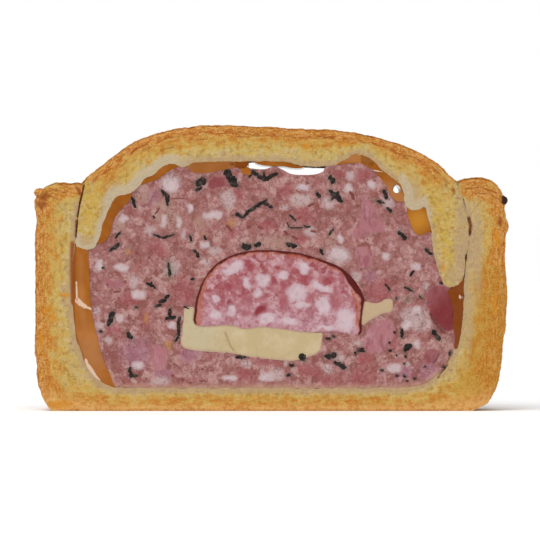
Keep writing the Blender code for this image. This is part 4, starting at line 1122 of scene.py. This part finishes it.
class BuildForcemeat(bpy.types.Operator):
    """Build the forcemeat"""
    bl_idname = "pate.forcemeat"
    bl_label = "Forcemeat"

    def execute(self, context):
        sizes = context.scene.pate_sizes
        loop = even_loop(cut_outline("forcemeat"), 0.2 * MM, 0.5 * MM, 0.18 * MM)
        inset = sizes.meat_inset
        points, faces = slab(loop, FARCE_STATIONS, sizes.step, 128, 50, 4, -HALF + inset, HALF - inset)
        rim, _ = distance_to(points, loop[::3], closed=True)
        flat = np.abs(normals_of(points, faces)[:, 1])
        height = (meat_height(points) * sizes.relief - 0.10 * (1 - fade(rim / (0.6 * MM)))) * flat
        for node in ("sausage", "cheese_slab", "cheese_bit"):
            other = even_loop(cut_outline(node), 0.6 * MM, 0.4 * MM)
            covered = within(points[:, [0, 2]], other)
            gap, _ = distance_to(points[covered], other, closed=True)
            height[covered] -= 0.5 * fade(gap / (0.5 * MM)) * flat[covered]
        fields = meat_fields(points)
        rim_mm = rim / MM + 0.4 * lumps(points, 1.5 * MM, 93)
        fields["greased"] = fade(1 - rim_mm / 1.6) * (points[:, 2] < 10 * MM)
        points[:, 1] += np.sign(points[:, 1]) * height * MM
        material = pork_forcemeat()
        make_piece("pork_forcemeat", keep_inside(points), faces, material, ["forcemeat"],
                   fields)
        top = np.array(MEAT_TOP) * MM
        points, faces, _, fields = set_in(context, top, 0.3 * MM, 16, 0.0, 1.0, -1, True, 88)
        make_piece("forcemeat_under_lid", keep_inside(points), faces, material, (), fields)
        return {"FINISHED"}


def set_in(context, outline, step, rows, proud_mm, blend_mm, side, through, seed):
    """One piece set in the forcemeat: it follows the meat's relief, stands a little proud in the middle and
    dips under the meat at its ragged rim."""
    inset = context.scene.pate_sizes.meat_inset
    loop = even_loop(outline, FINE_STEP, 0.55 * MM, 0.30 * MM)
    spread = np.column_stack([loop[:, 0], np.full(len(loop), seed * MM), loop[:, 1]])
    away = loop - loop.mean(axis=0)
    away /= np.maximum(np.linalg.norm(away, axis=1)[:, None], 1e-9)
    loop = loop + away * (0.38 * MM * lumps(spread, 1.2 * MM, seed))[:, None]
    near = HALF - inset
    far = -near if through else near - 3.0 * MM
    points, faces = slab(loop, end_stations(loop), step, rows, max(4, rows // 2), 3, -near, -far, 20)
    if side > 0:
        points[:, 1] *= -1
        faces = faces[:, ::-1]
    rim, _ = distance_to(points, loop[::2], closed=True)
    inner = rim / MM + 0.25 * lumps(points, 0.8 * MM, seed + 3)
    shown = fade((inner - 0.15) / blend_mm)
    faced = np.abs(normals_of(points, faces)[:, 1]) * (np.abs(points[:, 1]) > near - 0.1 * MM)
    lift = meat_height(points) + (proud_mm + 0.08) * fade(inner / 0.7) - 0.08
    fields = meat_fields(points)
    points[:, 1] += np.sign(points[:, 1]) * lift * MM * faced
    return points, faces, shown, fields


def joined_set(context, name, nodes, material, slot, *settings, crimson=None):
    """Like pieces set in the forcemeat, joined into one mesh. The field named by slot says where they show.
    Ham has its depth of red too, which fades towards the upper left, and its seams."""
    side = settings[4]
    built = [set_in(context, cut_outline(node, side), *settings, 70 + at) for at, node in enumerate(nodes)]
    points, faces = join([some[:2] for some in built])
    fields = {key: np.concatenate([some[3][key] for some in built]) for key in built[0][3]}
    fields[slot] = np.concatenate([some[2] for some in built])
    if crimson:
        red = np.concatenate([crimson.get(node, 0) * some[2] for node, some in zip(nodes, built)])
        fields["crimson"] = red * (0.6 + 0.4 * fade((points[:, 0] - points[:, 2]) / (8 * MM) - 1.2))
        fields["seam"] = lines_near(points, HAM_EDGES)
    make_piece(name, keep_inside(points), faces, material, nodes, fields)


class BuildFat(bpy.types.Operator):
    """Build the dice of back fat"""
    bl_idname = "pate.fat"
    bl_label = "Back fat dice"

    def execute(self, context):
        material = back_fat()
        for side, label in ((-1, "front"), (1, "back")):
            nodes = sorted(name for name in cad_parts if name.startswith("fat_" + label))
            joined_set(context, "back_fat_" + label, nodes, material, "fat",
                       0.2 * MM, 16, 0.05, 1.15, side, False)
        return {"FINISHED"}


class BuildHam(bpy.types.Operator):
    """Build the chunks of ham"""
    bl_idname = "pate.ham"
    bl_label = "Ham chunks"

    def execute(self, context):
        nodes = sorted(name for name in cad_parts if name.startswith("ham_"))
        joined_set(context, "ham_chunks", nodes, cured_ham(), "ham", 0.28 * MM, 26, 0.04, 0.8, -1, True,
                   crimson=HAM_CRIMSON)
        return {"FINISHED"}


def bulge(points, x, z, width, height):
    """A bell over a place in millimetres: 1 there, falling off with the square of the distance."""
    return np.exp(-(((points[:, 0] / MM - x) / width) ** 2 + ((points[:, 2] / MM - z) / height) ** 2))


class BuildSausage(bpy.types.Operator):
    """Build the half round of smoked sausage"""
    bl_idname = "pate.sausage"
    bl_label = "Smoked sausage"

    def execute(self, context):
        loop = even_loop(cut_outline("sausage"), CUT_STEP, 0.4 * MM, 0.2 * MM)
        cut = HALF - 0.14 * MM
        points, faces = slab(loop, end_stations(loop), 0.3 * MM, 74, 40, 4, -cut, cut, 120)
        arc, _ = outer_part(loop, *SAUSAGE_ENDS, True)
        to_arc, _ = distance_to(points, thinned(arc))
        thick = (0.52 + 1.3 * bulge(points, 20.3, 31.6, 2.6, 3.6) + 0.32 * lumps(points, 1.8 * MM, 91)) * MM
        smoked = (0.7 + 1.3 * bulge(points, -17.5, 26, 3.0, 6.0) + 0.9 * lumps(points, 1.8 * MM, 95)) * MM
        rim, _ = distance_to(points, loop[::3], closed=True)
        height = 0.08 * lumps(points, 1.4 * MM, 97) - 0.06 * (1 - fade(rim / (0.4 * MM)))
        fields = patch_fields(turned(points, 2.0), SAUSAGE_PATCHES)
        fields["casing"] = fade((thick - to_arc) / (0.30 * MM) + 0.5)
        fields["tan"] = np.maximum(fade(1.2 - to_arc / (smoked + thick)), lines_near(points, SAUSAGE_TAN))
        fields["soft"] = fade((31 - points[:, 2] / MM + lumps(points, 2.5 * MM, 99)) / 8)
        cut_relief(points, faces, height, context.scene.pate_sizes.relief)
        make_piece("smoked_sausage", keep_inside(points), faces, smoked_sausage(), ["sausage"],
                   fields)
        return {"FINISHED"}


class BuildCheese(bpy.types.Operator):
    """Build the cheese slab and the bit of cheese beside the sausage"""
    bl_idname = "pate.cheese"
    bl_label = "Cheese"

    def execute(self, context):
        material = pressed_cheese()
        for node, name in (("cheese_slab", "cheese_slice"), ("cheese_bit", "cheese_shred")):
            whole = node == "cheese_slab"
            loop = even_loop(cut_outline(node), CUT_STEP, 0.4 * MM, 0.2 * MM)
            stations = CHEESE_STATIONS if whole else end_stations(loop)
            points, faces = slab(loop, stations, 0.3 * MM, 30, 20, 4, -HALF + 0.2 * MM, HALF - 0.2 * MM)
            rim, _ = distance_to(points, loop[::3], closed=True)
            split, _ = distance_to(points, np.array(CHEESE_CRACK) * MM)
            cracked = fade(1 - split / (0.32 * MM)) * whole
            height = 0.06 * lumps(points, 2.0 * MM, 31) - 0.12 * (1 - fade(rim / (0.5 * MM))) - 0.2 * cracked
            edge = 1 - fade((rim / MM + 0.25 * lumps(points, 1.2 * MM, 35)) / 0.8)
            fields = {"edge": edge if whole else np.maximum(edge, 0.5), "crack": cracked,
                      "left": fade((-8 - points[:, 0] / MM) / 10)}
            cut_relief(points, faces, height)
            make_piece(name, keep_inside(points), faces, material, [node], fields)
        return {"FINISHED"}


def jelly_milk(node, points, rim):
    """Where a piece of jelly is cloudy, 0 to 1: far from its rim, towards a side, or in a patch."""
    x, z = points[:, 0] / MM, points[:, 2] / MM
    if node == "aspic_left":
        away = 0.6 * fade((rim - 0.8 * MM) / (1.5 * MM))
        return np.maximum(away, patches(points, [MILKY_PATCH], 0.9, 0.6))
    if node == "aspic_pocket_top":
        return 0.45 + 0.55 * fade((-19 - x) / 3)
    if node == "aspic_pocket_right":
        return 0.9 * fade((58.5 - z) / 2.5)
    if node == "jelly_film_right":
        return 0.9 * fade((z - 61.9) / 0.7)
    return np.zeros(len(points))


def jelly_outline(node, outline):
    """An outline a little larger than the node's, but not beside the gaps under the lid, and round at the
    hole."""
    loop, plain = (even_loop(outline, FINE_STEP, 0.3 * MM, grow * MM) for grow in (0.25, 0.0))
    by_void = patches(np.column_stack([loop[:, 0], 0 * loop[:, 0], loop[:, 1]]), VOIDS, 0.1, 0.0)[:, None]
    loop = loop * (1 - by_void) + plain * by_void
    if node == "aspic_pocket_right":
        middle, radius = np.array(HOLE[:2]) * MM, HOLE[2] * MM
        spoke = loop - middle
        long = np.linalg.norm(spoke, axis=1)[:, None]
        loop = np.where(long < 1.35 * radius, middle + spoke / long * radius, loop)
    return loop


class BuildAspic(bpy.types.Operator):
    """Build the set aspic"""
    bl_idname = "pate.aspic"
    bl_label = "Aspic"

    def execute(self, context):
        material = set_aspic()
        outlines = {node: cut_outline(node) for node in sorted(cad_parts) if node.startswith("aspic_")}
        outlines |= {name: np.array(film) * MM for name, film in JELLY_FILMS.items()}
        for node, outline in outlines.items():
            loop = jelly_outline(node, outline)
            stations = ASPIC_STATIONS if node == "aspic_left" else end_stations(loop)
            cover = (0.07 if node == "jelly_film_disc" else 0.17) * MM
            points, faces = slab(loop, stations, 0.25 * MM, 20, 16, 4, -HALF + cover, HALF - cover, 40)
            rim, _ = distance_to(points, loop[::2], closed=True)
            # Painted highlights: the ridges tint the jelly pale, as glints, besides raising it.
            ridges = lines_near(points, JELLY_GLINT_RIDGES) * fade(1.15 + lumps(points, 0.9 * MM, 39))
            ridges = ridges * (points[:, 1] < 0)
            # Painted shade: the grooves darken the jelly through its deep field, besides cutting it in.
            grooves = lines_near(points, JELLY_SHADE_GROOVES, 0.2)
            deep = JELLY_DEPTH.get(node, 0.12) + 0.30 * lumps(points, 3.0 * MM, 35)
            fields = {"deep": np.maximum(deep, 0.6 * grooves), "milky": jelly_milk(node, points, rim),
                      "torn": ridges,
                      "glow": patches(points, [GLOW_PATCH], 0.8, 0.2) * (node == "aspic_drop_right")}
            cut_relief(points, faces, 0.05 * lumps(points, 3.0 * MM, 33) + 0.2 * ridges - 0.08 * grooves)
            nodes = [] if node in JELLY_FILMS else [node]
            make_piece(node.replace("aspic", "jelly"), keep_inside(points), faces, material, nodes,
                       fields)
        return {"FINISHED"}


def sliver(width_mm, path_mm, seed, side, inset):
    """A flattened tube along a short path, tapered at both ends by one less the cube of the way from the
    middle, with each edge made ragged by noise, laid on the meat."""
    path = np.array(path_mm, float) * MM
    travelled = np.concatenate([[0], np.cumsum(np.linalg.norm(np.diff(path, axis=0), axis=1))])
    count = max(9, int(travelled[-1] / (0.22 * MM)) + 4)
    over = width_mm * MM * 0.3
    at = np.linspace(-over, travelled[-1] + over, count)
    line = np.column_stack([np.interp(at, travelled, path[:, k]) for k in (0, 1)])
    start, end = path[1] - path[0], path[-1] - path[-2]
    line += np.outer(np.minimum(at, 0), start / np.linalg.norm(start))
    line += np.outer(np.maximum(at - travelled[-1], 0), end / np.linalg.norm(end))
    along = np.gradient(line, axis=0)
    along /= np.maximum(np.linalg.norm(along, axis=1)[:, None], 1e-12)
    across = np.column_stack([-along[:, 1], along[:, 0]])
    spread = np.column_stack([line[:, 0], np.full(count, seed * MM), line[:, 1]])
    line += across * (0.25 * MM * min(width_mm, 1.0) * lumps(spread, 0.9 * MM, seed))[:, None]
    taper = np.sqrt(np.clip(1 - np.abs(np.linspace(-1, 1, count)) ** 3, 0, 1))
    half_width = width_mm / 2 * MM * taper
    turn = np.linspace(0, 2 * math.pi, 9)
    left, right = (half_width * (1 + 0.65 * lumps(spread, 0.5 * MM, seed + more)) for more in (5, 9))
    reach = np.where(np.cos(turn)[None] > 0, left[:, None], right[:, None]) * np.cos(turn)
    x = line[:, None, 0] + across[:, None, 0] * reach
    z = line[:, None, 1] + across[:, None, 1] * reach
    flat = np.stack([x.reshape(-1), np.full(x.size, side * (HALF - inset)), z.reshape(-1)], axis=-1)
    lift = meat_height(flat).reshape(x.shape) * MM + 0.04 * MM
    y = side * (HALF - inset + lift + np.minimum(half_width, 0.12 * MM)[:, None] * np.sin(turn))
    skin = np.stack([x, y, z], axis=-1)
    return weld([(skin, skin - skin.mean(axis=1, keepdims=True))])


class BuildMushroom(bpy.types.Operator):
    """Build the slivers of black mushroom and dark lean, and those mirrored on the back that lie on
    forcemeat"""
    bl_idname = "pate.mushroom"
    bl_label = "Mushroom slivers"

    def execute(self, context):
        inset = context.scene.pate_sizes.meat_inset
        meat = even_loop(cut_outline("forcemeat"), 0.4 * MM, 0.4 * MM, -1.0 * MM)
        others = [even_loop(cut_outline(node), 0.3 * MM, 0.3 * MM, 0.8 * MM) for node in CLEAR_OF]
        for name, table, material in (("mushroom_slivers", MUSHROOM, black_mushroom()),
                                      ("dark_lean_slivers", DARK_LEAN, dark_lean())):
            built = [sliver(width, path, 300 + at, -1, inset) for at, (width, path) in enumerate(table)]
            for at, (width, path) in enumerate(table):
                mirrored = np.array([(-x, z) for x, z in path], float)
                clear = not any(within(mirrored * MM, other).any() for other in others)
                if clear and within(mirrored * MM, meat).all():
                    built.append(sliver(width, mirrored, 500 + at, 1, inset))
            points, faces = join(built)
            make_piece(name, keep_inside(points), faces, material, ())
        return {"FINISHED"}


class BuildStage(bpy.types.Operator):
    """Build the floor, the lights and the camera"""
    bl_idname = "pate.stage"
    bl_label = "Floor, lights and camera"

    def execute(self, context):
        scene = context.scene
        sizes = scene.pate_sizes
        reach = sizes.floor_reach
        mesh = bpy.data.meshes.new("floor")
        corners = [(-reach, -reach, 0), (reach, -reach, 0), (reach, reach, 0), (-reach, reach, 0)]
        mesh.from_pydata(corners, [], [(0, 1, 2, 3)])
        mesh.materials.append(white_board())
        floor = bpy.data.objects.new("floor", mesh)
        scene.collection.objects.link(floor)

        world = bpy.data.worlds.new("soft_white_room")
        world.use_nodes = True
        tree = world.node_tree
        seen = add_node(tree, "ShaderNodeLightPath", out="Is Camera Ray")
        strength = add_node(tree, "ShaderNodeMapRange", {
            "Value": seen, "From Min": 0.0, "From Max": 1.0, "To Min": sizes.room_light, "To Max": 1.0})
        tree.links.new(strength, tree.nodes["Background"].inputs["Strength"])
        tree.nodes["Background"].inputs["Color"].default_value = (1.0, 1.0, 1.0, 1.0)
        scene.world = world
        scene.view_settings.view_transform = "Standard"
        scene.view_settings.look = "None"

        sun = bpy.data.lights.new("overhead_light", "SUN")
        sun.energy = sizes.overhead_light
        sun.angle = math.radians(50)
        overhead = bpy.data.objects.new("overhead_light", sun)
        overhead.rotation_euler = (math.radians(25), 0, math.radians(-28))
        scene.collection.objects.link(overhead)

        place = np.array((-0.40, -0.70, 0.45))
        light = bpy.data.lights.new("front_softbox", "AREA")
        light.shape = "SQUARE"
        light.size = 0.25
        light.energy = sizes.softbox_power
        lamp = bpy.data.objects.new("front_softbox", light)
        lamp.location = place
        aim = np.array((0.0, 0.0, LAMP_AIM)) - place
        lamp.rotation_euler = (math.atan2(math.hypot(aim[0], aim[1]), -aim[2]), 0,
                               math.atan2(aim[1], aim[0]) - math.pi / 2)
        scene.collection.objects.link(lamp)

        camera = bpy.data.cameras.new("camera")
        camera.lens = camera.sensor_width * sizes.camera_distance / sizes.frame_width
        camera.clip_start = 0.01
        camera.clip_end = 50.0
        view = bpy.data.objects.new("camera", camera)
        view.location = (VIEW_CENTRE[0] * MM, -HALF - sizes.camera_distance, VIEW_CENTRE[1] * MM)
        view.rotation_euler = (math.radians(90), 0, 0)
        scene.collection.objects.link(view)
        scene.camera = view
        return {"FINISHED"}


# Every piece's operator, in the order they run.
STEPS = (BuildCase, BuildLid, BuildFlakes, BuildForcemeat, BuildFat, BuildHam, BuildSausage, BuildCheese,
         BuildAspic, BuildMushroom, BuildStage)


class PatePanel(bpy.types.Panel):
    """Buttons for each piece of the slice"""
    bl_idname = "VIEW3D_PT_pate"
    bl_label = "Pate en croute"
    bl_space_type = "VIEW_3D"
    bl_region_type = "UI"
    bl_category = "Pate"

    def draw(self, context):
        for step in STEPS:
            self.layout.operator(step.bl_idname)
        for name in PateSizes.__annotations__:
            self.layout.prop(context.scene.pate_sizes, name)
        for name in PateColours.__annotations__:
            self.layout.prop(context.scene.pate_colours, name)


CLASSES = (PateSizes, PateColours, *STEPS, PatePanel)


def register():
    """Add the classes and their settings to Blender."""
    for cls in CLASSES:
        bpy.utils.register_class(cls)
    bpy.types.Scene.pate_sizes = PointerProperty(type=PateSizes)
    bpy.types.Scene.pate_colours = PointerProperty(type=PateColours)


def unregister():
    """Take the settings and the classes out again."""
    del bpy.types.Scene.pate_sizes
    del bpy.types.Scene.pate_colours
    for cls in reversed(CLASSES):
        bpy.utils.unregister_class(cls)


def main():
    """Build every piece in order."""
    register()
    for step in STEPS:
        group, name = step.bl_idname.split(".")
        getattr(getattr(bpy.ops, group), name)()


if __name__ == "__main__":
    main()
